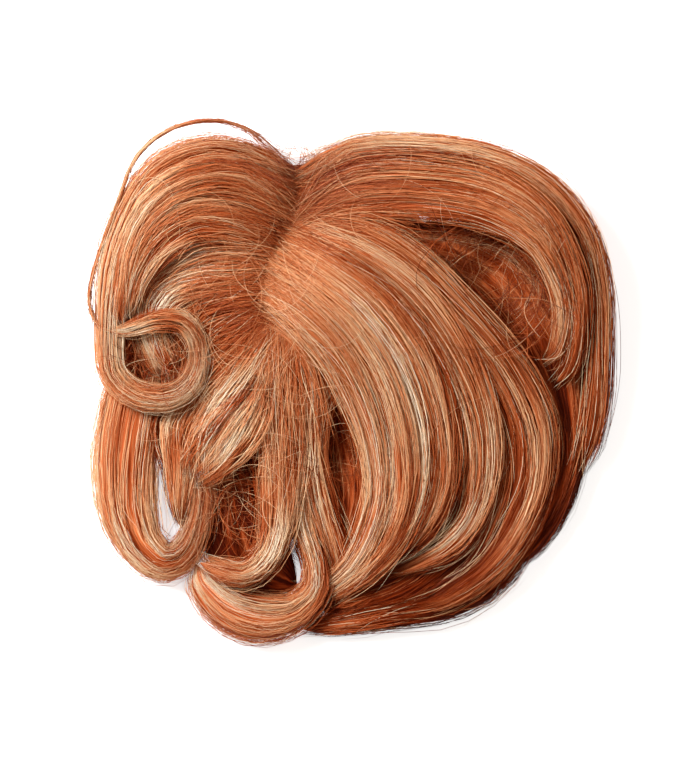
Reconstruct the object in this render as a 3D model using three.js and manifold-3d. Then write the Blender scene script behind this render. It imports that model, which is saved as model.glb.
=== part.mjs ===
// A clip-in hair topper lying on a table: a domed net base with four clips under it,
// a layer of short hair over the dome, and long curled locks that part over that layer.
// The locks are in five sections, each fused to the weft that it is sewn on with.
// Millimetres, +Z up. +Y points to the front hairline, and the origin is on the table
// under the middle of the outline.

import * as THREE from "three";
import { LoftGeometry } from "three/addons/geometries/LoftGeometry.js";
import { mergeVertices } from "three/addons/utils/BufferGeometryUtils.js";
import Module from "manifold-3d";

const wasm = await Module();
wasm.setup();

// Driving dimensions of the base
const GAP = 0.3; // clearance between neighbouring pieces
const BASE_CENTRE = { x: -18, y: 30 };
const BASE_RADIUS = 58; // half the width of the net base
const BASE_RISE = 24; // height of the dome over the table
const BASE_RIM = 2; // width of the flat rim that stands on the table
const BASE_ROOF = 1.4; // thickness of the net at the top of the dome
const FRONT_TO_SIDE = 1.034; // the base is a little longer front to back than it is wide
const HAIR_RIM = 6; // short hair round the rim of the base
const HAIR_ROOF = 7; // short hair on top of the dome

// Driving dimensions of a clip
const CLIP_LENGTH = 34;
const CLIP_WIDTH = 13;
const CLIP_THICK = 1.2;
const CLIP_SLOT = 4; // width of the slot between the legs
const CLIP_END = 4; // metal left at each end of the slot
const CLIP_REACH = 40; // from the middle of the base out to the middle of a clip
const CLIP_DROP = 2.6; // from the net down to the top of a clip's middle, so that its ends clear the net

// Fineness of the facets
const DOME_SEGMENTS = 24;
const DOME_STEPS = 5;
const CLIP_CURVE_STEPS = 3;
const LOCK_SIDES = 8;
const PLAIN_SIDES = 6; // for the wefts, the wisp and the locks that lie under others
const LOCK_STEP = 11.2; // length of a lock from one lofted section to the next
const LOCK_FULLNESS = 0.8; // 1 is an ellipse, and less is a fuller section

const TABLE_SIZE = 400;
const WELD = 1e-4; // corners closer than this are one corner

// Each lock runs from its root on the parting to its tip, a row for each section:
// the middle of the section, its width across the lock and its thickness up and down.
// A weft runs along the roots of its locks. The sections are in order from the top of the
// pile to the bottom, and a lower section gives way to a higher one.
const ROW_COLUMNS = ["x", "y", "z", "width", "thick"];
const SECTIONS = {
  left_wing: {
    weft: [
      [-25, 93, 4, 8, 6],
      [-27, 80, 14, 10, 6],
      [-34, 66, 21, 12, 6],
      [-38, 50, 26, 12, 6],
    ],
    wisp: [
      [-28, 96, 7, 3, 3],
      [-42.5, 110.2, 17, 3, 3],
      [-61, 114.5, 24, 2.6, 2.6],
      [-80, 110, 27, 2.6, 2.6],
      [-94.6, 97, 28, 2.4, 2.4],
      [-102.6, 76, 27, 2.4, 2.4],
      [-110.8, 55, 25, 2.2, 2.2],
      [-114.8, 37, 24, 2.2, 2.2],
      [-111, 25, 25, 2.2, 2.2],
      [-100, 20.5, 27, 2.4, 2.4],
      [-86, 23, 28, 2.4, 2.4],
      [-75, 29, 25.5, 2, 2],
    ],
    outer: [
      [-26, 93, 6, 11, 6],
      [-44, 98, 13, 16, 12],
      [-63, 98.5, 17, 18, 18],
      [-81, 92, 19, 17, 22],
      [-93, 77, 19, 15, 26],
      [-101.5, 57, 18, 13, 28],
      [-104.8, 38, 17, 11.5, 26],
      [-105.8, 18, 17, 10, 20],
      [-104.5, 4, 18, 10, 17],
      [-96, -5, 19, 10, 16],
      [-84, -8, 20, 10, 15],
      [-74, -5, 20, 9, 14],
      [-67.5, 3, 21, 8, 13],
      [-66, 13, 22, 7, 11],
      [-70, 22, 23, 5, 8],
      [-78, 26, 23, 3, 5],
    ],
    middle: [
      [-27, 80, 16, 12, 6],
      [-46, 88, 22, 18, 10],
      [-66, 87, 27, 20, 12],
      [-84, 77, 28, 18, 14],
      [-95, 60, 26, 13, 18],
      [-99, 43, 23, 10, 20],
      [-101, 30, 21, 8, 17],
      [-99, 20, 20, 5, 10],
    ],
    inner: [
      [-35, 66, 23, 12, 6],
      [-52, 70, 28, 18, 9],
      [-70, 69, 30, 19, 10],
      [-84, 60, 29, 16, 11],
      [-93, 47, 26, 11, 14],
      [-97, 34, 23, 8, 12],
      [-98, 24, 21, 4, 7],
    ],
    arch: [
      [-38, 50, 27.5, 14, 6],
      [-55, 48, 25, 19, 8],
      [-70, 46, 22, 20, 9],
      [-82, 40, 20, 19, 10],
      [-88, 30, 18, 16, 11],
      [-87, 19, 17, 15, 11],
      [-83, 8, 15, 14, 10],
      [-78, 1, 13, 8, 7],
    ],
    under: [
      [-46, 57, 20, 12, 6],
      [-66, 60, 14, 20, 9],
      [-84, 52, 10, 24, 14],
      [-97, 34, 9, 20, 15],
      [-99, 18, 9, 18, 14],
      [-95, 4, 8, 14, 12],
      [-88, -3, 8, 6, 8],
    ],
  },
  right_fall: {
    weft: [
      [-17, 71, 20, 8, 6],
      [-22, 64, 24, 8, 6],
      [-28, 54, 27, 8, 6],
      [-36, 40, 29, 8, 6],
    ],
    inner: [
      [-37, 38, 30, 10, 6],
      [-24, 28, 36, 13, 8],
      [-9, 13, 35, 15, 9],
      [2, -5, 31, 15, 10],
      [10, -25, 26, 14, 10],
      [13, -46, 22, 13, 10],
      [10, -64, 18, 13, 9],
      [2, -80, 13, 11, 9],
      [-9, -90, 9, 8, 7],
      [-18, -94, 7, 3, 4],
    ],
    second: [
      [-31, 52, 29, 10, 6],
      [-14, 40, 36, 16, 9],
      [3, 24, 36, 20, 10],
      [17, 3, 32, 22, 11],
      [25, -22, 27, 22, 11],
      [26, -46, 23, 20, 11],
      [20, -66, 18, 17, 10],
      [8, -82, 13, 13, 9],
      [-6, -93, 9, 8, 7],
      [-16, -99, 6, 3, 4],
    ],
    third: [
      [-26, 61, 26.5, 9, 6],
      [-8, 50, 34, 16, 9],
      [13, 34, 34, 21, 10],
      [30, 10, 31, 24, 11],
      [38.5, -16, 26, 21, 12],
      [40, -40, 22, 18, 12],
      [35, -58, 18, 15, 11],
      [25, -71, 15, 12, 9],
      [11, -80, 12, 5, 6],
    ],
    fourth: [
      [-21, 67, 24, 8, 6],
      [0, 57, 30, 15, 9],
      [24, 40, 30, 20, 10],
      [43, 15, 27, 22, 11],
      [55.5, -13, 22, 19, 12],
      [58.5, -40, 18, 16, 12],
      [54, -60, 15, 13, 11],
      [44, -73, 13, 12, 9],
      [30, -81, 11, 8, 7],
      [15, -87, 9, 4, 5],
    ],
    outer: [
      [-18, 71, 21, 8, 6],
      [6, 65, 26, 14, 9],
      [28, 51, 26, 16, 10],
      [48, 30, 24, 18, 11],
      [67, 6, 20, 22, 12],
      [78, -18, 16, 25, 13],
      [79, -42, 14, 23, 13],
      [72, -63, 13, 20, 12],
      [60, -81, 12, 15, 11],
      [43, -94, 10, 12, 9],
      [26, -101, 8, 5, 6],
    ],
    rim: [
      [80, -64, 5, 6, 8],
      [72, -79, 5, 11, 10],
      [59, -91, 5, 14, 11],
      [41, -99, 5, 14, 11],
      [21, -103, 5, 12, 11],
      [3, -106, 4.5, 11, 10],
      [-12, -108, 4, 9, 8],
      [-24, -110, 3.5, 4, 6],
    ],
    under: [
      [22, -2, 14, 14, 6],
      [38, -22, 7, 30, 9],
      [50, -44, 5.5, 40, 11],
      [48, -67, 5, 40, 11],
      [31, -86, 5, 26, 11],
      [11, -96, 4.5, 20, 10],
      [-14, -101.5, 4.2, 17, 8],
    ],
  },
  right_roll: {
    weft: [
      [-21, 93, 5, 8, 6],
      [-18, 83, 12.5, 9, 6],
      [-16, 74, 18, 8, 6],
    ],
    roof: [
      [-17, 75, 19.5, 9, 6],
      [6, 79, 24, 15, 8],
      [33, 79, 30, 15, 8],
      [59, 74, 34, 14, 8],
      [80, 62, 33, 12, 9],
      [91, 44, 28, 10, 10],
      [94, 28, 23, 9, 10],
      [91, 14, 19, 8, 9],
      [84, 7, 17, 4, 6],
    ],
    middle: [
      [-18, 83, 15, 10, 6],
      [5, 91, 21, 16, 9],
      [34, 91, 29, 18, 9],
      [62, 85.5, 33, 17, 9],
      [84, 71, 31, 14, 10],
      [96, 48, 26, 12, 12],
      [99.5, 27, 21, 11, 13],
      [97.5, 8, 17, 10, 12],
      [89, -3, 14, 5, 7],
    ],
    crest: [
      [-20, 92, 7, 10, 7],
      [0, 101, 12, 12, 12],
      [28, 102, 15, 13, 20],
      [58, 97.5, 17, 15, 26],
      [83.4, 86.2, 16, 14, 26],
      [101.8, 65.8, 15, 12.5, 24],
      [109, 40, 13, 11.6, 22],
      [109.5, 14, 11, 11.6, 20],
      [108, -10, 9.5, 12.6, 17],
      [104, -30, 8, 11, 14],
      [99, -45, 6, 4, 8],
    ],
    under: [
      [20, 62, 15, 12, 6],
      [42, 59, 9, 28, 8],
      [66, 47, 6, 42, 10],
      [85, 20, 6, 38, 12],
      [95, -9, 6, 22, 14],
      [96, -35, 6, 17, 14],
      [89.5, -57, 6, 14, 13],
      [78.5, -74, 5, 11, 11],
      [68, -84, 4.5, 4, 6],
    ],
  },
  back_curls: {
    weft: [
      [-44, 10, 24, 8, 6],
      [-36, 14, 27.5, 8, 6],
      [-28, 15, 29.5, 8, 6],
      [-18, 12, 29.5, 8, 6],
    ],
    hook: [
      [-32, 14, 29, 10, 6],
      [-30, -2, 26, 19, 7],
      [-30, -18, 21.5, 21, 9],
      [-30, -34, 18, 19, 10],
      [-31, -52, 16, 16, 12],
      [-33, -68, 15, 13, 13],
      [-38, -79, 15, 12, 13],
      [-47, -85, 15, 11, 12],
      [-58, -83.5, 14.5, 10, 9],
      [-69, -79, 13, 5, 6],
    ],
    diagonal: [
      [-40, 12, 26, 10, 6],
      [-44, 0, 23.5, 19, 7],
      [-51, -12, 20, 23, 9],
      [-58, -25, 17.5, 25, 10],
      [-62, -36, 16.5, 23, 8],
      [-63.5, -46, 14, 18, 5],
    ],
    curtain: [
      [-23, 15, 30, 10, 6],
      [-18, 0, 27, 18, 7],
      [-18, -14, 22.5, 16, 8],
      [-16.5, -35, 15, 12, 10],
      [-11, -58, 11, 14, 10],
      [-5, -76, 9, 14, 9],
      [-4, -89, 6, 7, 7],
    ],
    ring: [
      [-22, -12, 21.5, 10, 6],
      [-21, -34, 13, 11, 9],
      [-22, -52, 10, 11, 10],
      [-20, -66, 9, 10, 13],
      [-15, -79, 8.5, 10, 16],
      [-15, -92, 8, 12, 17],
      [-25, -102.5, 8, 17, 17],
      [-40, -105, 8, 22, 17],
      [-55, -100, 8, 20, 17],
      [-65.5, -89, 8, 14, 14],
      [-68, -78, 8, 5, 9],
    ],
    under_left: [
      [-44, -6, 18, 12, 6],
      [-47, -28, 8, 28, 8],
      [-48, -50, 5.5, 36, 11],
      [-46, -70, 5.5, 43, 11],
      [-38, -84, 5, 40, 10],
      [-23, -91, 5, 22, 9],
    ],
    under_right: [
      [-6, -10, 20, 10, 6],
      [-1, -32, 7, 20, 8],
      [2, -52, 6, 24, 11],
      [-2, -72, 5.5, 22, 11],
      [-12, -86, 5, 14, 9],
    ],
  },
  left_curls: {
    weft: [
      [-41, 34, 28, 9, 6],
      [-43, 24, 27, 9, 6],
      [-42, 14, 26, 9, 6],
    ],
    temple: [
      [-41, 34, 29, 14, 6],
      [-53, 31, 25.5, 20, 7],
      [-65, 26, 19.5, 19, 8],
      [-73, 16, 14, 17, 9],
      [-77, 3, 10, 15, 9],
      [-79, -10, 8, 7, 7],
    ],
    inner: [
      [-41, 18, 27.5, 13, 6],
      [-54, 7, 21, 17, 7],
      [-66, -6, 14.5, 17, 9],
      [-75.3, -20, 12, 21, 11],
      [-75, -38, 11, 15, 13],
      [-75, -55, 10, 9, 12],
      [-74, -67, 9, 4, 7],
    ],
    loop: [
      [-77, 22, 9, 12, 7],
      [-91, 8, 7, 20, 11],
      [-96.5, -10, 7, 27, 13],
      [-99.6, -32, 7, 28, 15],
      [-99.2, -52, 7.5, 26, 16],
      [-96.5, -63, 7.5, 23.5, 16],
      [-91.5, -73, 7.5, 19.5, 16],
      [-82.5, -79.8, 7.5, 17, 16],
      [-73.5, -76.5, 8, 14, 15],
      [-68, -67, 8.5, 12, 13.5],
      [-65, -56, 10, 11, 12],
      [-64.5, -46, 11, 10, 9],
      [-66.5, -38, 11, 8, 7],
    ],
  },
};

// Finishes
const hairFinish = new THREE.MeshStandardMaterial({ color: 0xb46a3c, roughness: 0.45, metalness: 0 });
const underFinish = new THREE.MeshStandardMaterial({ color: 0x8a4622, roughness: 0.55, metalness: 0 });
const netFinish = new THREE.MeshStandardMaterial({ color: 0x9c6f52, roughness: 0.85, metalness: 0 });
const clipFinish = new THREE.MeshStandardMaterial({ color: 0x5a3a28, roughness: 0.4, metalness: 0.6 });

// A closed geometry as a solid that can be joined and cut
function solidOf(geometry) {
  const bare = new THREE.BufferGeometry().copy(geometry);
  bare.deleteAttribute("normal");
  bare.deleteAttribute("uv");
  const welded = mergeVertices(bare, WELD);
  const corners = welded.index.array;
  const triVerts = [];
  for (let i = 0; i < corners.length; i += 3) {
    const [a, b, c] = corners.slice(i, i + 3);
    if (a !== b && b !== c && c !== a) triVerts.push(a, b, c);
  }
  return new wasm.Manifold(
    new wasm.Mesh({
      numProp: 3,
      vertProperties: welded.attributes.position.array,
      triVerts: new Uint32Array(triVerts),
    }),
  );
}

// The largest connected surface of a solid as a geometry. A cut can shave off loose slivers,
// and locks that cross can close a pocket, which is then filled.
function mainBody(solid) {
  const mesh = solid.getMesh();
  const leader = Array.from({ length: mesh.numVert }, (_, i) => i);
  const find = (i) => {
    while (leader[i] !== i) {
      leader[i] = leader[leader[i]];
      i = leader[i];
    }
    return i;
  };
  for (let i = 0; i < mesh.triVerts.length; i += 3) {
    const first = find(mesh.triVerts[i]);
    leader[find(mesh.triVerts[i + 1])] = first;
    leader[find(mesh.triVerts[i + 2])] = first;
  }
  const bodies = new Map();
  for (let i = 0; i < mesh.triVerts.length; i += 3) {
    const body = find(mesh.triVerts[i]);
    if (!bodies.has(body)) bodies.set(body, []);
    bodies.get(body).push(...mesh.triVerts.slice(i, i + 3));
  }
  const largest = [...bodies.values()].sort((a, b) => b.length - a.length)[0];
  return new THREE.BufferGeometry()
    .setAttribute("position", new THREE.BufferAttribute(mesh.vertProperties, 3))
    .setIndex(largest);
}

// Height of a dome over the table at a distance from its middle
function domeHeight(dome, distance) {
  return dome.rise * (1 - (distance / dome.radius) ** 2);
}

// A dome's profile from the top to the rim
function domeProfile(dome) {
  return Array.from({ length: DOME_STEPS + 1 }, (_, i) => {
    const distance = (dome.radius * i) / DOME_STEPS;
    return new THREE.Vector2(distance, domeHeight(dome, distance));
  });
}

// A profile turned about the upright axis through the middle of the base
function turned(profile) {
  return new THREE.LatheGeometry(profile, DOME_SEGMENTS)
    .rotateX(Math.PI / 2)
    .scale(1, FRONT_TO_SIDE, 1)
    .translate(BASE_CENTRE.x, BASE_CENTRE.y, 0);
}

// A hollow shell between an inner and an outer dome, with a flat rim on the table
function domeShell(inner, outer) {
  return turned([...domeProfile(inner), ...domeProfile(outer).reverse()]);
}

const capInside = { radius: BASE_RADIUS - BASE_RIM, rise: BASE_RISE - BASE_ROOF };
const capOutside = { radius: BASE_RADIUS, rise: BASE_RISE };
const hairInside = { radius: BASE_RADIUS + GAP, rise: BASE_RISE + GAP };
const hairOutside = { radius: BASE_RADIUS + HAIR_RIM, rise: BASE_RISE + HAIR_ROOF };
const hairReach = { radius: hairOutside.radius + GAP, rise: hairOutside.rise + GAP };

// A stadium outline of a given length and width, lengthwise along X
function stadium(path, length, width) {
  const end = (length - width) / 2;
  return path
    .absarc(end, 0, width / 2, -Math.PI / 2, Math.PI / 2)
    .absarc(-end, 0, width / 2, Math.PI / 2, (3 * Math.PI) / 2)
    .closePath();
}

// A clip is a flat plate with one long slot, tilted to the slope of the net that it is sewn under
function clip(turn) {
  const outline = stadium(new THREE.Shape(), CLIP_LENGTH, CLIP_WIDTH);
  outline.holes.push(stadium(new THREE.Path(), CLIP_LENGTH - 2 * CLIP_END, CLIP_SLOT));
  const slope = Math.atan((2 * capInside.rise * CLIP_REACH) / capInside.radius ** 2);
  const top = domeHeight(capInside, CLIP_REACH) - CLIP_DROP;
  return new THREE.ExtrudeGeometry(outline, {
    depth: CLIP_THICK,
    bevelEnabled: false,
    curveSegments: CLIP_CURVE_STEPS,
  })
    .rotateX(slope)
    .translate(0, -CLIP_REACH, top - CLIP_THICK)
    .rotateZ(turn)
    .translate(BASE_CENTRE.x, BASE_CENTRE.y, 0);
}

// A lock is lofted through rounded sections, each upright across the lock's path
function lock(rows, sides, grow) {
  const sections = rows.map((row) => Object.fromEntries(ROW_COLUMNS.map((name, i) => [name, row[i]])));
  const curve = (points) => new THREE.CatmullRomCurve3(points, false, "catmullrom", 0.5);
  const path = curve(sections.map(({ x, y, z }) => new THREE.Vector3(x, y, z)));
  const spread = curve(sections.map(({ width, thick }) => new THREE.Vector3(width / 2, thick / 2, 0)));
  const up = new THREE.Vector3(0, 0, 1);
  const steps = Math.round(path.getLength() / LOCK_STEP);
  const rounded = (value) => Math.sign(value) * Math.abs(value) ** LOCK_FULLNESS;
  const rings = Array.from({ length: steps + 1 }, (_, i) => {
    const along = path.getTangent(i / steps);
    const across = new THREE.Vector3().crossVectors(up, along).normalize();
    const over = new THREE.Vector3().crossVectors(along, across);
    const past = i === 0 ? -grow : i === steps ? grow : 0;
    const middle = path.getPoint(i / steps).addScaledVector(along, past);
    const half = spread.getPoint(i / steps).addScalar(grow);
    return Array.from({ length: sides }, (_, j) => {
      const angle = (2 * Math.PI * j) / sides;
      return middle
        .clone()
        .addScaledVector(across, half.x * rounded(Math.cos(angle)))
        .addScaledVector(over, half.y * rounded(Math.sin(angle)));
    });
  });
  return solidOf(new LoftGeometry(rings, { capStart: true, capEnd: true }));
}

// The locks of a section and its weft as one solid
function fused(section, grow) {
  return Object.entries(section)
    .map(([name, rows]) => lock(rows, /^(weft|wisp|under)/.test(name) ? PLAIN_SIDES : LOCK_SIDES, grow))
    .reduce((whole, piece) => whole.add(piece));
}

const topper = new THREE.Group();

function add(name, geometry, finish) {
  const mesh = new THREE.Mesh(geometry, finish);
  mesh.name = name;
  topper.add(mesh);
}

add("base_cap", domeShell(capInside, capOutside), netFinish);
add("under_hair", domeShell(hairInside, hairOutside), underFinish);

["back", "right", "front", "left"].forEach((side, i) => {
  add(`clip_${side}`, clip((i * Math.PI) / 2), clipFinish);
});

// What a section of hair may not enter: the table, the short hair and every section above it
const table = new THREE.BoxGeometry(TABLE_SIZE, TABLE_SIZE, TABLE_SIZE).translate(0, 0, -TABLE_SIZE / 2);
const shortHair = turned([new THREE.Vector2(0, 0), ...domeProfile(hairReach).reverse()]);
let taken = solidOf(table).add(solidOf(shortHair));

for (const [name, section] of Object.entries(SECTIONS)) {
  add(name, mainBody(fused(section, 0).subtract(taken)), hairFinish);
  taken = taken.add(fused(section, GAP));
}

export default topper;
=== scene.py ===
# %% [markdown]
# # A clip-in hair topper
#
# A topper is a small hairpiece: hair tied to a domed net base, with clips sewn under it. This one
# lies on a white table with its hair parted at the front. The solids are already modelled, and this
# lesson dresses them: each section of hair becomes a combed body with thousands of strands on it.
#
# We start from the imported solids. Everything made here stays in their frame, in metres.

import bpy
import numpy as np
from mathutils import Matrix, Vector


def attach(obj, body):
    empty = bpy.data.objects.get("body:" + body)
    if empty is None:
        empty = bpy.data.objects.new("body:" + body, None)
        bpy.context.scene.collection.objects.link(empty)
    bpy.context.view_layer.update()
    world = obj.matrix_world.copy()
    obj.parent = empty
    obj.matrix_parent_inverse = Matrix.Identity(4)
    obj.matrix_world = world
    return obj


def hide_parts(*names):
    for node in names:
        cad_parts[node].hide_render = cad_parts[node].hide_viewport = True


MM = 0.001
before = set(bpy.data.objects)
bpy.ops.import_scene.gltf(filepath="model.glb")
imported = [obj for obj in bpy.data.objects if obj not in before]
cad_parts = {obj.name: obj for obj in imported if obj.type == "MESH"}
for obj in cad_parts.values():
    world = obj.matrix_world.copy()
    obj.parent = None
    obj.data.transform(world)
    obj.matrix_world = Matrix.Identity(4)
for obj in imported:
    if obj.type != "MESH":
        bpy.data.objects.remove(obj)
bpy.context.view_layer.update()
print("solids:", ", ".join(sorted(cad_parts)))

# %% [markdown]
# ## The routes of the locks
#
# A lock of hair is a bundle that runs from the parting to a curled tip. Its route is a short table,
# the same one that the solids are lofted through: the middle of the bundle in millimetres, its
# width and its thickness. Strands that follow the same table stay in the form of the solid.

# %% Tables of the locks, with columns x, y, z, width, thick
LOCKS = {
    "left_wing": {
        "wisp": [
            [-28, 96, 7, 3, 3], [-42.5, 110.2, 17, 3, 3], [-61, 114.5, 24, 2.6, 2.6],
            [-80, 110, 27, 2.6, 2.6], [-94.6, 97, 28, 2.4, 2.4], [-102.6, 76, 27, 2.4, 2.4],
            [-110.8, 55, 25, 2.2, 2.2], [-114.8, 37, 24, 2.2, 2.2], [-111, 25, 25, 2.2, 2.2],
            [-100, 20.5, 27, 2.4, 2.4], [-86, 23, 28, 2.4, 2.4], [-75, 29, 25.5, 2, 2],
        ],
        "outer": [
            [-26, 93, 6, 11, 6], [-44, 98, 13, 16, 12], [-63, 98.5, 17, 18, 18], [-81, 92, 19, 17, 22],
            [-93, 77, 19, 15, 26], [-101.5, 57, 18, 13, 28], [-104.8, 38, 17, 11.5, 26],
            [-105.8, 18, 17, 10, 20], [-104.5, 4, 18, 10, 17], [-96, -5, 19, 10, 16],
            [-84, -8, 20, 10, 15], [-74, -5, 20, 9, 14], [-67.5, 3, 21, 8, 13], [-66, 13, 22, 7, 11],
            [-70, 22, 23, 5, 8], [-78, 26, 23, 3, 5],
        ],
        "middle": [
            [-27, 80, 16, 12, 6], [-46, 88, 22, 18, 10], [-66, 87, 27, 20, 12], [-84, 77, 28, 18, 14],
            [-95, 60, 26, 13, 18], [-99, 43, 23, 10, 20], [-101, 30, 21, 8, 17], [-99, 20, 20, 5, 10],
        ],
        "inner": [
            [-35, 66, 23, 12, 6], [-52, 70, 28, 18, 9], [-70, 69, 30, 19, 10], [-84, 60, 29, 16, 11],
            [-93, 47, 26, 11, 14], [-97, 34, 23, 8, 12], [-98, 24, 21, 4, 7],
        ],
        "arch": [
            [-38, 50, 27.5, 14, 6], [-55, 48, 25, 19, 8], [-70, 46, 22, 20, 9], [-82, 40, 20, 19, 10],
            [-88, 30, 18, 16, 11], [-87, 19, 17, 15, 11], [-83, 8, 15, 14, 10], [-78, 1, 13, 8, 7],
        ],
        "under": [
            [-46, 57, 20, 12, 6], [-66, 60, 14, 20, 9], [-84, 52, 10, 24, 14], [-97, 34, 9, 20, 15],
            [-99, 18, 9, 18, 14], [-95, 4, 8, 14, 12], [-88, -3, 8, 6, 8],
        ],
    },
    "right_fall": {
        "inner": [
            [-37, 38, 30, 10, 6], [-24, 28, 36, 13, 8], [-9, 13, 35, 15, 9], [2, -5, 31, 15, 10],
            [10, -25, 26, 14, 10], [13, -46, 22, 13, 10], [10, -64, 18, 13, 9], [2, -80, 13, 11, 9],
            [-9, -90, 9, 8, 7], [-18, -94, 7, 3, 4],
        ],
        "second": [
            [-31, 52, 29, 10, 6], [-14, 40, 36, 16, 9], [3, 24, 36, 20, 10], [17, 3, 32, 22, 11],
            [25, -22, 27, 22, 11], [26, -46, 23, 20, 11], [20, -66, 18, 17, 10], [8, -82, 13, 13, 9],
            [-6, -93, 9, 8, 7], [-16, -99, 6, 3, 4],
        ],
        "third": [
            [-26, 61, 26.5, 9, 6], [-8, 50, 34, 16, 9], [13, 34, 34, 21, 10], [30, 10, 31, 24, 11],
            [38.5, -16, 26, 21, 12], [40, -40, 22, 18, 12], [35, -58, 18, 15, 11], [25, -71, 15, 12, 9],
            [11, -80, 12, 5, 6],
        ],
        "fourth": [
            [-21, 67, 24, 8, 6], [0, 57, 30, 15, 9], [24, 40, 30, 20, 10], [43, 15, 27, 22, 11],
            [55.5, -13, 22, 19, 12], [58.5, -40, 18, 16, 12], [54, -60, 15, 13, 11],
            [44, -73, 13, 12, 9], [30, -81, 11, 8, 7], [15, -87, 9, 4, 5],
        ],
        "outer": [
            [-18, 71, 21, 8, 6], [6, 65, 26, 14, 9], [28, 51, 26, 16, 10], [48, 30, 24, 18, 11],
            [67, 6, 20, 22, 12], [78, -18, 16, 25, 13], [79, -42, 14, 23, 13], [72, -63, 13, 20, 12],
            [60, -81, 12, 15, 11], [43, -94, 10, 12, 9], [26, -101, 8, 5, 6],
        ],
        "rim": [
            [80, -64, 5, 6, 8], [72, -79, 5, 11, 10], [59, -91, 5, 14, 11], [41, -99, 5, 14, 11],
            [21, -103, 5, 12, 11], [3, -106, 4.5, 11, 10], [-12, -108, 4, 9, 8], [-24, -110, 3.5, 4, 6],
        ],
        "under": [
            [22, -2, 14, 14, 6], [38, -22, 7, 30, 9], [50, -44, 5.5, 40, 11], [48, -67, 5, 40, 11],
            [31, -86, 5, 26, 11], [11, -96, 4.5, 20, 10], [-14, -101.5, 4.2, 17, 8],
        ],
    },
    "right_roll": {
        "roof": [
            [-17, 75, 19.5, 9, 6], [6, 79, 24, 15, 8], [33, 79, 30, 15, 8], [59, 74, 34, 14, 8],
            [80, 62, 33, 12, 9], [91, 44, 28, 10, 10], [94, 28, 23, 9, 10], [91, 14, 19, 8, 9],
            [84, 7, 17, 4, 6],
        ],
        "middle": [
            [-18, 83, 15, 10, 6], [5, 91, 21, 16, 9], [34, 91, 29, 18, 9], [62, 85.5, 33, 17, 9],
            [84, 71, 31, 14, 10], [96, 48, 26, 12, 12], [99.5, 27, 21, 11, 13], [97.5, 8, 17, 10, 12],
            [89, -3, 14, 5, 7],
        ],
        "crest": [
            [-20, 92, 7, 10, 7], [0, 101, 12, 12, 12], [28, 102, 15, 13, 20], [58, 97.5, 17, 15, 26],
            [83.4, 86.2, 16, 14, 26], [101.8, 65.8, 15, 12.5, 24], [109, 40, 13, 11.6, 22],
            [109.5, 14, 11, 11.6, 20], [108, -10, 9.5, 12.6, 17], [104, -30, 8, 11, 14],
            [99, -45, 6, 4, 8],
        ],
        "under": [
            [20, 62, 15, 12, 6], [42, 59, 9, 28, 8], [66, 47, 6, 42, 10], [85, 20, 6, 38, 12],
            [95, -9, 6, 22, 14], [96, -35, 6, 17, 14], [89.5, -57, 6, 14, 13], [78.5, -74, 5, 11, 11],
            [68, -84, 4.5, 4, 6],
        ],
    },
    "back_curls": {
        "hook": [
            [-32, 14, 29, 10, 6], [-30, -2, 26, 19, 7], [-30, -18, 21.5, 21, 9], [-30, -34, 18, 19, 10],
            [-31, -52, 16, 16, 12], [-33, -68, 15, 13, 13], [-38, -79, 15, 12, 13],
            [-47, -85, 15, 11, 12], [-58, -83.5, 14.5, 10, 9], [-69, -79, 13, 5, 6],
        ],
        "diagonal": [
            [-40, 12, 26, 10, 6], [-44, 0, 23.5, 19, 7], [-51, -12, 20, 23, 9],
            [-58, -25, 17.5, 25, 10], [-62, -36, 16.5, 23, 8], [-63.5, -46, 14, 18, 5],
        ],
        "curtain": [
            [-23, 15, 30, 10, 6], [-18, 0, 27, 18, 7], [-18, -14, 22.5, 16, 8],
            [-16.5, -35, 15, 12, 10], [-11, -58, 11, 14, 10], [-5, -76, 9, 14, 9], [-4, -89, 6, 7, 7],
        ],
        "ring": [
            [-22, -12, 21.5, 10, 6], [-21, -34, 13, 11, 9], [-22, -52, 10, 11, 10],
            [-20, -66, 9, 10, 13], [-15, -79, 8.5, 10, 16], [-15, -92, 8, 12, 17],
            [-25, -102.5, 8, 17, 17], [-40, -105, 8, 22, 17], [-55, -100, 8, 20, 17],
            [-65.5, -89, 8, 14, 14], [-68, -78, 8, 5, 9],
        ],
        "under_left": [
            [-44, -6, 18, 12, 6], [-47, -28, 8, 28, 8], [-48, -50, 5.5, 36, 11],
            [-46, -70, 5.5, 43, 11], [-38, -84, 5, 40, 10], [-23, -91, 5, 22, 9],
        ],
        "under_right": [
            [-6, -10, 20, 10, 6], [-1, -32, 7, 20, 8], [2, -52, 6, 24, 11], [-2, -72, 5.5, 22, 11],
            [-12, -86, 5, 14, 9],
        ],
    },
    "left_curls": {
        "temple": [
            [-41, 34, 29, 14, 6], [-53, 31, 25.5, 20, 7], [-65, 26, 19.5, 19, 8], [-73, 16, 14, 17, 9],
            [-77, 3, 10, 15, 9], [-79, -10, 8, 7, 7],
        ],
        "inner": [
            [-41, 18, 27.5, 13, 6], [-54, 7, 21, 17, 7], [-66, -6, 14.5, 17, 9],
            [-75.3, -20, 12, 21, 11], [-75, -38, 11, 15, 13], [-75, -55, 10, 9, 12],
            [-74, -67, 9, 4, 7],
        ],
        "loop": [
            [-77, 22, 9, 12, 7], [-91, 8, 7, 20, 11], [-96.5, -10, 7, 27, 13], [-99.6, -32, 7, 28, 15],
            [-99.2, -52, 7.5, 26, 16], [-96.5, -63, 7.5, 23.5, 16], [-91.5, -73, 7.5, 19.5, 16],
            [-82.5, -79.8, 7.5, 17, 16], [-73.5, -76.5, 8, 14, 15], [-68, -67, 8.5, 12, 13.5],
            [-65, -56, 10, 11, 12], [-64.5, -46, 11, 10, 9], [-66.5, -38, 11, 8, 7],
        ],
    },
}
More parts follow.
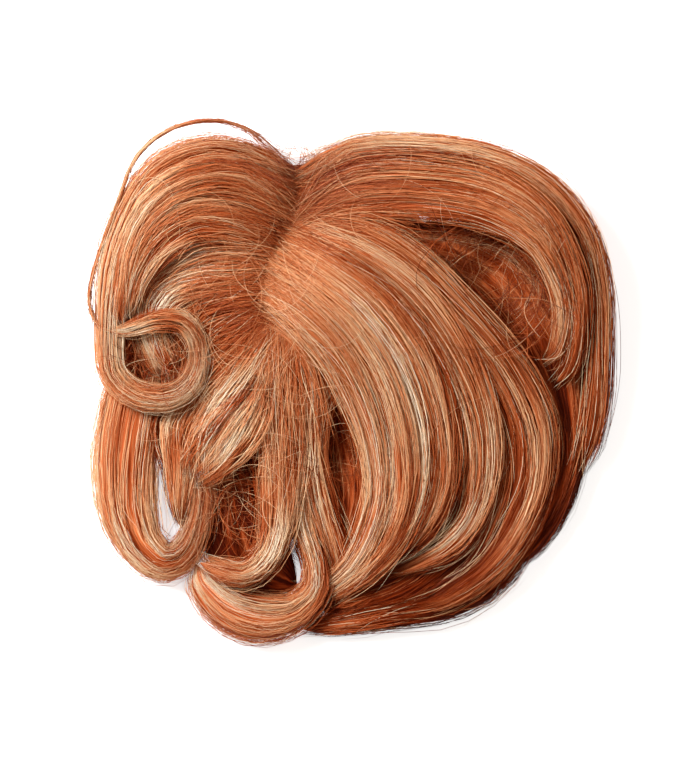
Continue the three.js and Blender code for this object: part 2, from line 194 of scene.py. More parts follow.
all_rows = [rows for locks in LOCKS.values() for rows in locks.values()]
print("locks:", len(all_rows))

# %% [markdown]
# ## A smooth route through a table
#
# A Catmull-Rom curve passes through every row and needs no handles. It gives the middle and the
# size of a lock anywhere along it. Two unit vectors then span the lock's section there: one level
# across the route and one over it.

# %% Points along a lock
NEAR = 0.002  # step along a lock, as a share of it, that gives its direction
LEAST_HALF = 0.5 * MM  # a lock's half width and half thickness are never less
FULLNESS = 0.8  # power that fills out the corners of a section


def unit(vectors):
    """Vectors divided by their lengths."""
    return vectors / np.maximum(np.linalg.norm(vectors, axis=-1, keepdims=True), 1e-12)


def row_at(rows, u):
    """A table's row at u, from 0 at the root to 1 at the tip. Between two rows it is the cubic whose
    slope at each row is half the step from the row before to the row after."""
    table = np.asarray(rows, float) * MM
    ends = np.vstack([2 * table[0] - table[1], table, 2 * table[-1] - table[-2]])
    place = np.clip(u, 0, 1) * (len(table) - 1)
    stretch = np.minimum(place.astype(int), len(table) - 2)
    t = (place - stretch)[..., None]
    before, start, end, after = (ends[stretch + k] for k in range(4))
    slope = end - before
    bend = 2 * before - 5 * start + 4 * end - after
    twist = 3 * start - before - 3 * end + after
    return start + 0.5 * (slope * t + bend * t**2 + twist * t**3)


def lock_frame(rows, u):
    """The middle of a lock at u, the unit vectors across and over it, and its half sizes. Across is
    level and square to the step between two near points, and over is square to both."""
    here = row_at(rows, u)
    along = unit((row_at(rows, u + NEAR) - row_at(rows, u - NEAR))[..., :3])
    across = unit(np.cross([0, 0, 1], along))
    over = np.cross(along, across)
    return here[..., :3], across, over, np.maximum(here[..., 3:] / 2, LEAST_HALF)


def section_points(middle, across, over, aside, above):
    """Points of a lock's sections: the middle, plus a step across the lock and one over it."""
    return middle + aside[..., None] * across + above[..., None] * over


def rounded(value):
    """A sine or cosine with its corners filled out: its power, with the sign kept."""
    return np.sign(value) * np.abs(value) ** FULLNESS


def lock_length(rows):
    """Length of a lock: the steps between its rows, added up."""
    return MM * np.linalg.norm(np.diff(np.asarray(rows, float)[:, :3], axis=0), axis=1).sum()


def lies_under(lock):
    """Whether a lock lies under others, which its name says."""
    return lock.startswith("under")


print("longest lock in metres:", round(max(lock_length(rows) for rows in all_rows), 3))

# %% [markdown]
# A strand is a chain of straight pieces. A curl needs short pieces and a straight fall doesn't, so the
# points are spread by length plus turning: the same number of them then draws a smoother curl.

# %% Spread of the points
TURN_RADIUS = 16 * MM  # a full turn counts as much as a circle of this radius
PIECE = 15 * MM  # length of a straight piece where the lock doesn't bend
FEWEST, MOST = 9, 24  # straight pieces of a strand
SAMPLES = 400  # places along a lock where its bend is measured


def spread_of(rows):
    """Places along a lock and the effort up to each: its length plus the angle turned, times a radius."""
    u = np.linspace(0, 1, SAMPLES)
    step = np.diff(row_at(rows, u)[:, :3], axis=0)
    heading = unit(step)
    turned = np.arccos(np.clip((heading[1:] * heading[:-1]).sum(axis=1), -1, 1))
    effort = np.linalg.norm(step, axis=1) + TURN_RADIUS * np.append(turned, 0)
    return u, np.append(0, np.cumsum(effort))


def places_along(rows, start, end):
    """For strands from start to end of a lock, the places of their points, closer where it bends."""
    u, effort = spread_of(rows)
    pieces = int(np.clip(effort[-1] / PIECE, FEWEST, MOST))
    first, last = np.interp(start, u, effort), np.interp(end, u, effort)
    wanted = first[:, None] + (last - first)[:, None] * np.linspace(0, 1, pieces + 1)
    return np.interp(wanted, effort, u)


print("most effort along a lock in metres:", round(max(spread_of(rows)[1][-1] for rows in all_rows), 3))

# %% [markdown]
# ## The parting
#
# At the parting the hair leaves the scalp layer along one line and turns to either side. If every
# lock simply began at its own first row, we would see blunt ends and bare scalp between them. So the
# first stretch of each strand is drawn in to the nearest place on this line. At the front the hair
# rises from lower down and fans out, so roots there slip back along the line.

# %% The line that the roots stand on
PARTING = [
    [-25, 96], [-24, 86], [-24, 75], [-28.5, 65], [-35, 55.5],
    [-38.5, 46], [-39.5, 36], [-38, 28], [-32, 23], [-24, 18], [-16, 12],
]
PARTING_STEPS = 240  # points on the line
DOME_MIDDLE = (-18 * MM, 30 * MM)
DOME_RADIUS = 64 * MM
DOME_RISE = 31 * MM
DOME_STRETCH = 1.034  # front to back against side to side
ROOT_HEIGHT = 3.6 * MM  # of the roots over the dome, on the weft
ROOT_REACH = 24 * MM  # how far along a lock its strands are drawn in to the parting
ROOT_NEAR = 16 * MM  # a lock that begins farther off than this has its root under other hair
ROOT_SCATTER = 2.2 * MM
FRONT_FAN = 72 * MM  # roots in front of this line slip back
FRONT_SLIP, SIDE_SLIP = 16, 5  # how many points of the line roots slip by, at the front and elsewhere
STRAYED_SHARE = 0.35  # of the roots, which are scattered more
STRAYED_SCATTER = 4.5 * MM
parting_line = row_at(PARTING, np.linspace(0, 1, PARTING_STEPS))


def dome_height(x, y):
    """Height of the short hair: the rise, less its share by the squared distance from the middle."""
    aside, ahead = x - DOME_MIDDLE[0], (y - DOME_MIDDLE[1]) / DOME_STRETCH
    return np.maximum(DOME_RISE * (1 - (aside**2 + ahead**2) / DOME_RADIUS**2), 0)


def on_parting(points, rng=None):
    """The nearest place on the parting for each point, scattered a little where a generator is given."""
    count = len(points)
    nearest = np.linalg.norm(points[:, None, :2] - parting_line, axis=-1).argmin(axis=1)
    flat = parting_line[nearest]
    if rng is not None:
        back = rng.exponential(FRONT_SLIP, count)
        slip = np.where(flat[:, 1] > FRONT_FAN, back, rng.normal(0, SIDE_SLIP, count))
        nearest = np.clip(nearest + slip.astype(int), 0, PARTING_STEPS - 1)
        strayed = rng.random((count, 1)) < STRAYED_SHARE
        flat = parting_line[nearest] + rng.normal(0, ROOT_SCATTER, flat.shape)
        flat = flat + strayed * rng.normal(0, STRAYED_SCATTER, flat.shape)
    return np.column_stack([flat, dome_height(*flat.T) + ROOT_HEIGHT])


def drawn_in(paths, travelled, rng=None):
    """Paths with their first stretch drawn in to the parting. The share of the combed place grows as
    a quarter of a sine wave with the length travelled."""
    root = on_parting(paths[:, 0], rng)[:, None]
    share = np.sin(np.clip(travelled / ROOT_REACH, 0, 1) * np.pi / 2)[..., None]
    return root + (paths - root) * share


def starts_on_parting(lock, rows):
    """Whether a lock's first row is close enough to the parting, and it isn't a lock under others."""
    first = np.array([rows[0][:3]]) * MM
    away = np.linalg.norm(on_parting(first)[:, :2] - first[:, :2])
    return not lies_under(lock) and away < ROOT_NEAR


print("parting from", parting_line[0], "to", parting_line[-1])

# %% [markdown]
# ## From arrays to meshes
#
# Blender can grow and comb hair on a surface, but such hair is no mesh and can't be handed on as one.
# So all pieces here are many closed tubes: a thick one for the body of a lock, thin ones for strands.
# A tube is a grid of points, ring after ring, and its two ends are single points. numpy makes the
# corner numbers of all the tubes at once, and `foreach_set` copies them into the mesh.


# %% Closed tubes
def tube_faces(rings, sides):
    """Corner numbers of one closed tube's triangles. Corner 0 is the root and the last is the tip.
    Between two rings each square is two triangles, and the ends are fans."""
    ring = 1 + sides * np.arange(rings)[:, None] + np.arange(sides)
    onward = np.roll(ring, -1, axis=1)
    low, low_on, high, high_on = ring[:-1], onward[:-1], ring[1:], onward[1:]
    squares = np.stack([low, low_on, high_on, low, high_on, high], axis=-1).reshape(-1, 3)
    root = np.stack([np.zeros(sides, int), onward[0], ring[0]], axis=-1)
    tip = np.stack([ring[-1], onward[-1], np.full(sides, 1 + rings * sides)], axis=-1)
    return np.concatenate([root, squares, tip])


def capped(values):
    """Values at a tube's rings, with the first and the last once more for the corners at its ends."""
    return np.concatenate([values[:1], values, values[-1:]])


def joined(parts):
    """Corners, faces and map places of several meshes as one, with the corner numbers moved up."""
    corners, faces, uv = zip(*parts)
    first = np.cumsum([0] + [len(c) for c in corners[:-1]])
    moved = [f + n for f, n in zip(faces, first)]
    return np.concatenate(corners), np.concatenate(moved), np.concatenate(uv)


def mesh_piece(name, corners, faces, uv, tone=None):
    """A smooth-shaded object of triangles, with one map place for each corner of each face, and a
    tone for each corner where one is given."""
    mesh = bpy.data.meshes.new(name)
    mesh.vertices.add(len(corners))
    mesh.vertices.foreach_set("co", corners.astype(np.float32).ravel())
    mesh.loops.add(faces.size)
    mesh.loops.foreach_set("vertex_index", faces.astype(np.int32).ravel())
    mesh.polygons.add(len(faces))
    mesh.polygons.foreach_set("loop_start", np.arange(0, faces.size, 3, dtype=np.int32))
    mesh.polygons.foreach_set("use_smooth", np.ones(len(faces), bool))
    places = mesh.uv_layers.new(name="OFBake")
    places.data.foreach_set("uv", uv[faces.ravel()].astype(np.float32).ravel())
    if tone is not None:
        mesh.attributes.new("tone", "FLOAT", "POINT").data.foreach_set("value", tone.astype(np.float32))
    mesh.update(calc_edges=True)
    piece = bpy.data.objects.new(name, mesh)
    bpy.context.collection.objects.link(piece)
    return piece


print("triangles of a tube with 10 rings of 3 sides:", len(tube_faces(10, 3)))

# %% [markdown]
# A strand is such a tube with three sides, round a path. It needs no more, because it is thinner than
# a pixel of the picture. Its map isn't an unrolled skin: the first number is the strand's tone and
# the second is the way along it, so one material can colour every strand.

# %% Tubes round the paths of strands
ASLANT = [0.21, 0.13, 0.97]  # hardly any strand runs this way, so the rings can be turned by it
SIDE_TONES = [-0.012, 0, 0.012]  # the three sides of a strand differ a little
LIGHT_TONE, HELD_BACK = 0.75, 0.2  # tones over the first are held back by this share
FIRST_TONE, LAST_TONE = 0.015, 0.985  # ends of the map that tones keep within


def per_corner(values, sides):
    """Values at the points of strands, repeated for each corner of a ring. An end has one corner."""
    return np.repeat(values, [1] + [sides] * (values.shape[-1] - 2) + [1], axis=-1)


def strand_tubes(paths, thickness, tone):
    """A closed tube round each path. The paths have equally many points, and each ring is a circle's
    few points square to its path. The map place is the tone there and the way along the strand."""
    count, points, _ = paths.shape
    sides = len(SIDE_TONES)
    along = unit(np.gradient(paths, axis=1))
    across = unit(np.cross(along, ASLANT))
    over = np.cross(along, across)
    turn = 2 * np.pi * np.arange(sides) / sides
    out = np.cos(turn)[:, None] * across[:, 1:-1, None] + np.sin(turn)[:, None] * over[:, 1:-1, None]
    rings = paths[:, 1:-1, None] + thickness[:, 1:-1, None, None] / 2 * out
    corners = np.concatenate([paths[:, :1], rings.reshape(count, -1, 3), paths[:, -1:]], axis=1)
    shade = per_corner(tone, sides)
    light = np.maximum(shade - LIGHT_TONE, 0)
    shift = np.concatenate([[0], np.tile(SIDE_TONES, points - 2), [0]])
    place = np.clip(shade - HELD_BACK * light + shift, FIRST_TONE, LAST_TONE)
    way = per_corner(np.linspace(0, 1, points), sides)
    uv = np.stack([place, np.broadcast_to(way, place.shape)], axis=-1)
    faces = tube_faces(points - 2, sides) + (corners.shape[1] * np.arange(count))[:, None, None]
    return corners.reshape(-1, 3), faces.reshape(-1, 3), uv.reshape(-1, 2)


# %% [markdown]
# ## Combing a lock
#
# Combed hair isn't even. A lock divides into sub-locks, some lighter and some farther out than others,
# with a groove between two of them. Grooves and the sides of a lock get painted shade, and each
# sub-lock gets painted gloss bands along it. We describe that division once, so that the lock's body
# and its strands can share it.

# %% How a lock divides
FIRST_ANGLE, LAST_ANGLE = -0.22 * np.pi, 1.22 * np.pi  # the hair is seen between these, round a lock
SUB_LOCK = 6 * MM  # width of a sub-lock, on average
UNEVEN = (0.4, 1.6)  # least and most width of a sub-lock against the average
STAND = 0.05  # how far sub-locks stand out or in, as a share of the lock's half size
LIGHTNESS, DARKEST, LIGHTEST = 0.12, -0.25, 0.1  # spread of the sub-locks' shades, and its limits
GROOVE = 0.12  # depth of a groove, as a share of the lock's half size
# painted shade: a groove is coloured darker than the top of its sub-lock, as shade falls into it
PAINTED_GROOVE_SHADE = 0.36  # how much darker a groove is than the top of a sub-lock
GROOVE_MEAN = 0.33  # the groove's depth on average, so that grooves don't darken the whole lock
# painted shade: the sides of a lock are coloured darker than its top, as they turn away from the light
PAINTED_SIDE_SHADE = 0.22  # how much darker the sides of a lock are than its top, at the root
SIDE_MEAN = 0.3  # how far down the sides are on average, for the same reason
TURNED = 0.16  # angle by which the sub-locks turn to and fro round the lock
WANDER = 0.45  # how far a groove wanders, in sub-locks
# painted highlight and shade: bands of gloss along each sub-lock, lighter and darker by a sine
PAINTED_GLOSS_BANDS = 0.08  # how much a sub-lock gets lighter and darker on its way


def girth_of(rows):
    """Width and thickness together, where they are largest."""
    return max(row[3] + row[4] for row in rows)


def tone_at(tone, u):
    """The tone of a lock at u: between a few values that are evenly spread from root to tip."""
    return np.interp(u, np.linspace(0, 1, len(tone)), tone)


def divide(rows, side, rng):
    """How a lock divides: the angles where its uneven sub-locks end, and for each how far it stands out,
    how light it is and at which phase of a sine its painted gloss bands get lighter and darker on its
    way. The side is how much painted shade the lock's sides get at its tip."""
    count = max(2, int(girth_of(rows) * MM / SUB_LOCK))
    ends = np.cumsum(np.append(0, rng.uniform(*UNEVEN, count)))
    return {
        "ends": FIRST_ANGLE + (LAST_ANGLE - FIRST_ANGLE) * ends / ends[-1],
        "stand": rng.normal(0, STAND, count),
        "shade": np.clip(rng.normal(0, LIGHTNESS, count), DARKEST, LIGHTEST),
        "phase": rng.uniform(0, 2 * np.pi, count),
        "side": side,
    }


def sway(division, u):
    """The angle by which the sub-locks are turned round the lock at u: a slow sine."""
    return TURNED * np.sin(5 * u + division["phase"][0])


def across_lock(division, angle, u):
    """How far the hair stands out at an angle and at u, and its tone: those of the sub-lock there, less
    a groove that grows with the square of the distance from the sub-lock's middle. The grooves wander
    by a sine as they go. The tone waves along the sub-lock as painted gloss bands, and the grooves and
    the sides of the lock are painted darker as shade."""
    ends = division["ends"]
    place = np.interp(angle, ends, np.arange(len(ends)))
    place = place + WANDER * np.sin(1.7 * place + 7 * u + division["phase"][0])
    place = np.clip(place, 0, len(ends) - 1.001)
    piece = place.astype(int)
    groove = (2 * (place - piece) - 1) ** 2
    side = 1 - np.clip(np.sin(angle), 0, 1)
    out = 1 + division["stand"][piece] - GROOVE * groove
    # painted gloss bands along the sub-lock, then painted shade in the grooves and on the sides
    shade = division["shade"][piece] + PAINTED_GLOSS_BANDS * np.sin(9 * u + division["phase"][piece])
    dark = PAINTED_SIDE_SHADE + (division["side"] - PAINTED_SIDE_SHADE) * u
    return out, shade + PAINTED_GROOVE_SHADE * (GROOVE_MEAN - groove) + dark * (SIDE_MEAN - side)


print("sub-locks of the thickest lock:", int(max(girth_of(rows) for rows in all_rows) * MM / SUB_LOCK))

# %% [markdown]
# Within a sub-lock the hair gathers in clumps of a few millimetres, and each strand keeps near its
# clump. Towards the tip the clump closes up. A few strands stay loose, and every strand drifts and
# waves a little, as hair that has been worn does.

# %% How a strand wanders
STRAND = 0.22 * MM  # thickness of a strand, which stands for a few hairs
THIN_END = 0.3  # thickness at the ends of a strand, as a share
THICKNESSES = (0.6, 1.3)  # of single strands, as shares of the usual one
DRIFT = 1.6 * MM  # slow wandering of a strand
FRIZZ = 0.28 * MM  # small waves of a strand
SLOW_PACE, QUICK_PACE = (2, 7), (9, 24)  # of their sines, in radians along a lock
AMOUNT = (0.2, 1.4)  # how much a single strand wanders, against the usual
LIVELY_SHARE, LIVELY = 1 / 5, 1.9  # these strands wander more than others, by this factor
TABLE_GAP = 0.2 * MM


def tapered(count, points, rng, thick=STRAND):
    """Thickness along each strand: full in the middle, thinner to both ends by the root of a sine."""
    way = np.linspace(0.02, 0.98, points)
    share = THIN_END + (1 - THIN_END) * np.sin(np.pi * way) ** 0.5
    return thick * rng.uniform(*THICKNESSES, (count, 1)) * share


def wandering(u, rng):
    """Two small offsets for each strand along its way: a slow sine and a quick one, each with its
    own pace and phase."""
    shape = (2, len(u), 1)
    slow = rng.uniform(*SLOW_PACE, shape) * u + rng.uniform(0, 2 * np.pi, shape)
    quick = rng.uniform(*QUICK_PACE, shape) * u + rng.uniform(0, 2 * np.pi, shape)
    own = rng.uniform(*AMOUNT, shape)
    own = own * np.where(rng.random(shape[1:]) < LIVELY_SHARE, LIVELY, 1)
    return own * (DRIFT * np.sin(slow) + FRIZZ * np.sin(quick))


def above_table(paths):
    """Paths kept clear of the table."""
    paths[..., 2] = np.maximum(paths[..., 2], TABLE_GAP + STRAND / 2)
    return paths


print("strand of", STRAND, "m, drifting by", DRIFT, "m")

# %% Strands of one lock
CLUMP = 2.2 * MM  # width of a clump
CLUMP_SPREAD = 1.0 * MM  # how far its strands lie from the middle of a clump
CLUMP_RISE = 0.03  # how far clumps stand out or in, as a share of the lock's half size
CLUMP_TONE = 0.1  # spread of the clumps' tones
STRAND_TONE = (-0.025, 0.07)  # a strand's tone against its clump's: its mean and its spread
STRAND_SHARE = 0.93  # where the strands lie, as a share of the lock's section
WISP_SHARE = 0.55  # the same for the wisp
# painted light and shade: strands that lie higher are coloured lighter and lower ones darker, as the top
# of the hair catches the light
PAINTED_LIFT_LIGHT = 0.03  # how much lighter a strand is that lies one step or one millimetre higher
LATE_SHARE = 0.14  # of the strands, which begin part of the way along
LATE_START, SOON_START = (0.05, 0.45), (0, 0.03)  # where those begin, and where the others do
LOOSE_SHARE, LOOSENESS = 0.1, 2.2  # these strands keep farther from their clump, by this factor
EARLY_END = 0.4  # the share of a lock by which a strand ends early, at most
FULL_WIDTH = 6 * MM  # a lock narrower than twice this keeps its strands closer


def comb(lock, rows, division, count, rng, tone):
    """Strand paths of one lock: the lock's middle, plus the clump's place on the section, plus the
    strand's own place in the clump, plus its wandering. The tone goes from that of the root to that
    of the tip, with the tone of the sub-lock and its painted shade, and strands that lie higher are
    painted lighter. Returns paths, thickness and tone."""
    clumps = max(4, int(girth_of(rows) * MM / CLUMP))
    clump = rng.integers(clumps, size=count)
    step = np.arange(clumps) + rng.uniform(0, 1, clumps)
    angle = (FIRST_ANGLE + (LAST_ANGLE - FIRST_ANGLE) * step / clumps)[clump][:, None]
    own = rng.normal(0, CLUMP_TONE, clumps)
    late = rng.random(count) < LATE_SHARE
    start = np.where(late, rng.uniform(*LATE_START, count), rng.uniform(*SOON_START, count))
    end = 1 - EARLY_END * rng.beta(1, 4, count)
    u = places_along(rows, start, end)
    middle, across, over, half = lock_frame(rows, u)
    out, shade = across_lock(division, angle, u)
    raised = rng.normal(0, CLUMP_RISE, clumps)[clump]
    depth = (WISP_SHARE if lock == "wisp" else STRAND_SHARE) * out + raised[:, None]
    turn = angle + sway(division, u)
    loose = rng.random(count) < (0 if lies_under(lock) else LOOSE_SHARE)
    keep = np.where(loose, LOOSENESS, 1.0)[:, None]
    apart = rng.normal(0, 1, (2, count, 1)) * CLUMP_SPREAD * keep * (1 - 0.5 * u) + wandering(u, rng)
    apart = apart * np.clip(half[..., 0] / FULL_WIDTH, 0.3, 1)
    aside = half[..., 0] * depth * rounded(np.cos(turn)) + apart[0]
    above = half[..., 1] * depth * rounded(np.sin(turn)) + apart[1]
    paths = section_points(middle, across, over, aside, above)
    if starts_on_parting(lock, rows):
        travelled = np.where(late[:, None], ROOT_REACH, (u - start[:, None]) * lock_length(rows))
        paths = drawn_in(paths, travelled, rng)
    own = own[clump] + rng.normal(*STRAND_TONE, count)
    # painted light on strands that lie higher, painted shade on those lower down
    own = own + PAINTED_LIFT_LIGHT * (raised / CLUMP_RISE + apart[1].mean(axis=1) / MM)
    tones = tone_at(tone, u) + shade + own[:, None]
    return above_table(paths), tapered(count, u.shape[1], rng), tones


# %% [markdown]
# ## Sheets between locks
#
# Near the parting, neighbouring locks aren't separate yet: the hair lies over them as one sheet and
# gathers into locks lower down. The tops of neighbouring locks are the guides of such a sheet. A
# strand starts anywhere between two guides and is drawn to the nearer one on its way. The number
# after a guide is the share of its length that the sheet follows. Before the guides come how many
# strands there are for each pair of them, how strongly they are drawn in and how far they go.

# %% Strands of a sheet
SHEETS = {
    "left_wing": (150, 0.75, 0.75, [
        ("left_wing", "outer", 0.5), ("left_wing", "middle", 1.0), ("left_wing", "inner", 1.0),
    ]),
    "right_fall": (160, 0.8, 0.8, [
        ("right_fall", "inner", 0.9), ("right_fall", "second", 0.9), ("right_fall", "third", 0.9),
        ("right_fall", "fourth", 0.9), ("right_fall", "outer", 0.9),
    ]),
    "right_roll": (150, 0.75, 0.75, [
        ("right_roll", "roof", 1.0), ("right_roll", "middle", 1.0), ("right_roll", "crest", 0.8),
    ]),
    "front": (240, 0.2, 1.0, [("right_fall", "outer", 0.26), ("right_roll", "roof", 0.3)]),
    "crown": (175, 0.35, 0.75, [
        ("left_wing", "inner", 0.5), ("left_wing", "arch", 0.75), ("left_curls", "temple", 1.0),
        ("left_curls", "inner", 0.8), ("back_curls", "diagonal", 1.1), ("back_curls", "hook", 0.6),
        ("back_curls", "curtain", 0.65), ("right_fall", "inner", 0.55),
    ]),
}
SHEET_PIECES = 13  # straight pieces of a strand
GATHER_START, GATHER_LENGTH = 0.2, 0.45  # where along its way a strand is drawn to a guide
SLANT = 0.25  # how far strands slant to one side, in guides
RIDGE = 0.7 * MM
# partly the hair's own streaks, partly painted light: the raised ridges are coloured lighter
RIDGE_STREAK_AND_LIGHT, SHEET_TONE = 0.12, 0.12  # how much lighter a ridge is, and the spread of the strands


def smooth(t):
    """A step from 0 to 1 with level ends: three times the square less twice the cube."""
    t = np.clip(t, 0, 1)
    return t * t * (3 - 2 * t)


def sheet(guides, count, drawn, longest, rng):
    """Strand paths of one sheet: a blend of the top lines of two neighbouring guides by the strand's
    place between them. The place is drawn to the nearer guide as a smooth step, and slants a little to
    one side. Ridges across the sheet, two sines of the place, raise it and lighten it: partly the hair's
    own streaks, partly painted light on the raised tops."""
    last = len(guides) - 1
    place = rng.uniform(0, last, count)
    end = rng.uniform(0.2, longest, count)
    u = end[:, None] * np.linspace(0, 1, SHEET_PIECES + 1)
    gather = drawn * smooth((u - GATHER_START) / GATHER_LENGTH)
    place_on = place[:, None] + (np.round(place)[:, None] - place[:, None]) * gather
    place_on = np.clip(place_on + rng.normal(0, SLANT, (count, 1)) * u, 0, last)
    left = np.minimum(place_on.astype(int), last - 1)
    blend = place_on - left
    strand, point = np.ogrid[:count, : SHEET_PIECES + 1]
    tops, tones, lengths = [], [], []
    for section, lock, share in guides:
        rows = LOCKS[section][lock]
        middle, _, over, half = lock_frame(rows, u * share)
        tops.append(middle + half[..., 1:] * over)
        tones.append(tone_at(TONES[section][lock], u * share))
        lengths.append(lock_length(rows) * share)
    tops, tones = np.stack(tops), np.stack(tones)
    paths = tops[left, strand, point] * (1 - blend[..., None])
    paths = paths + tops[left + 1, strand, point] * blend[..., None]
    offsets = wandering(u, rng)
    side = unit(np.cross([0, 0, 1], np.gradient(paths, axis=1)))
    paths = paths + offsets[0][..., None] * side
    ridge = 0.6 * np.sin(23 * place) + 0.4 * np.sin(61 * place + 1)
    paths[..., 2] += 0.6 * offsets[1] + RIDGE * ridge[:, None]
    paths = drawn_in(paths, u * np.mean(lengths), rng)
    tone = tones[left, strand, point] * (1 - blend) + tones[left + 1, strand, point] * blend
    # lighter ridges, partly painted light on the raised tops, and the strands' own spread of tone
    tone = tone + (RIDGE_STREAK_AND_LIGHT * ridge + rng.normal(0, SHEET_TONE, count))[:, None]
    return above_table(paths), tapered(count, SHEET_PIECES + 1, rng), tone


print("sheets:", ", ".join(SHEETS))

# %% [markdown]
# ## Loose hair
#
# Worn hair is never quite tidy. Single light hairs stand off the locks and cross the hollows between
# them, and at this scale they're what tells hair from plastic. The first two kinds are strays that
# leave a lock part of the way along it, and arcs that lie across a hollow.

# %% Strays and arcs
FINE_HAIR = 0.17 * MM
LOOSE_PIECES = 10  # straight pieces of a loose hair
STRAY_START = 0.75  # the latest start of a stray along its lock
STRAY_LENGTH = (0.15, 0.42)  # as a share of its lock, from the first to the second
STRAY_ANGLES = (-0.05, 1.05)  # where strays lie round a lock, in half turns
STRAY_OFF = 3.5 * MM  # how far strays leave their lock to one side
STRAY_LIFT = 2.2 * MM  # and at most upwards
STRAY_TONE = (0.65, 1)
ARC_START = (0.08, 1.1)  # squared distance of arcs from a hollow's middle, against its reach
ARC_BEND, ARC_LENGTH = (0.6, 2.4), (0.5, 1.8)  # against the reach, too
SWIRL_LENGTH = (0.6, 2.2)  # against the distance from the middle
ARC_LIGHT, ARC_DARK = (0.55, 0.9), (0.05, 0.48)
ARC_DARK_THICK = 1.4  # how much thicker a dark arc is
half_way = np.linspace(-0.5, 0.5, LOOSE_PIECES + 1)  # places along an arc, from its middle


def strays(rows, count, rng):
    """Paths that follow a lock for a stretch and leave it: the combed place, plus an offset to one
    side that changes with the square of the way along, and a lift that grows with it."""
    column = (count, 1)
    start = rng.uniform(0, STRAY_START, count)
    end = np.minimum(start + rng.uniform(*STRAY_LENGTH, count), 1)
    way = np.linspace(0, 1, LOOSE_PIECES + 1)
    u = start[:, None] + (end - start)[:, None] * way
    middle, across, over, half = lock_frame(rows, u)
    turn = np.pi * rng.uniform(*STRAY_ANGLES, column)
    off = rng.normal(0, STRAY_OFF, column) * (way**2 - 0.3)
    lift = rng.uniform(0, STRAY_LIFT, column) * way**2
    own = wandering(u, rng)
    aside = half[..., 0] * rounded(np.cos(turn)) + off + own[0]
    above = half[..., 1] * 1.04 * rounded(np.sin(turn)) + lift + 0.5 * own[1]
    paths = section_points(middle, across, over, aside, above)
    tone = rng.uniform(*STRAY_TONE, column) + 0 * u
    return above_table(paths), tapered(count, LOOSE_PIECES + 1, rng, FINE_HAIR), tone


def arcs(x, y, low, high, reach, swirl, light, count, rng):
    """Paths in a round hollow, each an arc of a circle. A share of them, the swirl, goes round the
    hollow's own middle, lower towards it, as a bowl. The others lie any way, round middles of their own.
    Another share is light and thin."""
    column, pair = (count, 1), (2, count, 1)
    swirls = (rng.random(count) < swirl)[:, None]
    turn = rng.uniform(0, 2 * np.pi, column)
    far = reach * np.sqrt(rng.uniform(*ARC_START, column))
    any_bend = reach * rng.uniform(*ARC_BEND, column) * rng.choice([-1, 1], column)
    bend = np.where(swirls, far, any_bend)
    round_length = far * rng.uniform(*SWIRL_LENGTH, column)
    length = np.where(swirls, round_length, reach * rng.uniform(*ARC_LENGTH, column))
    facing = np.where(swirls, turn, rng.uniform(0, 2 * np.pi, column))
    angle = facing + length / bend * half_way
    start_x, start_y = x + far * np.cos(turn), y + far * np.sin(turn)
    uneven = 1 + 0.1 * np.sin(rng.uniform(1, 3, column) * angle + rng.uniform(0, 6, column))
    wave = 0.02 * reach * np.sin(rng.uniform(3, 9, pair) * half_way + rng.uniform(0, 6, pair))
    along_x = start_x + bend * (uneven * np.cos(angle) - np.cos(facing)) + wave[0]
    along_y = start_y + bend * (uneven * np.sin(angle) - np.sin(facing)) + wave[1]
    out = np.hypot(along_x - x, along_y - y) / reach
    rise = np.clip(out, 0, 1.3) ** 2 * (high - low) * rng.uniform(0.5, 1, column)
    height = low + rise + 1.5 * rng.random(column) + rng.uniform(-2, 2, column) * half_way
    paths = MM * np.stack([along_x, along_y, height], axis=-1)
    light = rng.random(column) < light
    tone = np.where(light, rng.uniform(*ARC_LIGHT, column), rng.uniform(*ARC_DARK, column)) + 0 * half_way
    thick = tapered(count, LOOSE_PIECES + 1, rng, FINE_HAIR) * np.where(light, 1, ARC_DARK_THICK)
    return above_table(paths), thick, tone


print("loose hairs of", FINE_HAIR, "m")

# %% [markdown]
# The third kind lies over everything, any way, and bridges the gaps. To lay such a hair down we need
# the height of the hair under it, so the sections of all the locks are first entered in a grid of
# small cells, each of which keeps the highest point.

# %% Hair that lies over everything
CELL = 1.5 * MM
CELLS = 180
FLY_BEND, FLY_LENGTH = (9, 40), (10, 42)  # in millimetres, radius and length of an arc
FLY_LIFT, FLY_LIFT_MORE = 0.2, 0.8  # in millimetres, the least lift and what is added on average
FLY_TONE = (0.5, 0.88)
BRIDGED = 5  # points of an arc that its height is averaged over


def cell_of(points):
    """The two cell numbers of points: their place over the cell's size, counted from the grid's corner."""
    return tuple(np.clip((points[..., k] / CELL + CELLS / 2).astype(int), 0, CELLS - 1) for k in range(2))


def hair_height():
    """Height of the hair over a grid: the highest point of any lock's section in a cell or next to it."""
    field = np.zeros((CELLS, CELLS))
    u, turn = np.linspace(0, 1, 240)[:, None], np.pi * np.linspace(0, 1, 25)
    for rows in all_rows:
        middle, across, over, half = lock_frame(rows, u)
        aside, above = half[..., 0] * rounded(np.cos(turn)), half[..., 1] * rounded(np.sin(turn))
        points = section_points(middle, across, over, aside, above)
        np.maximum.at(field, cell_of(points), points[..., 2])
    for axis in (0, 1):
        field = np.max([np.roll(field, shift, axis) for shift in (-1, 0, 1)], axis=0)
    return field


height_field = hair_height()


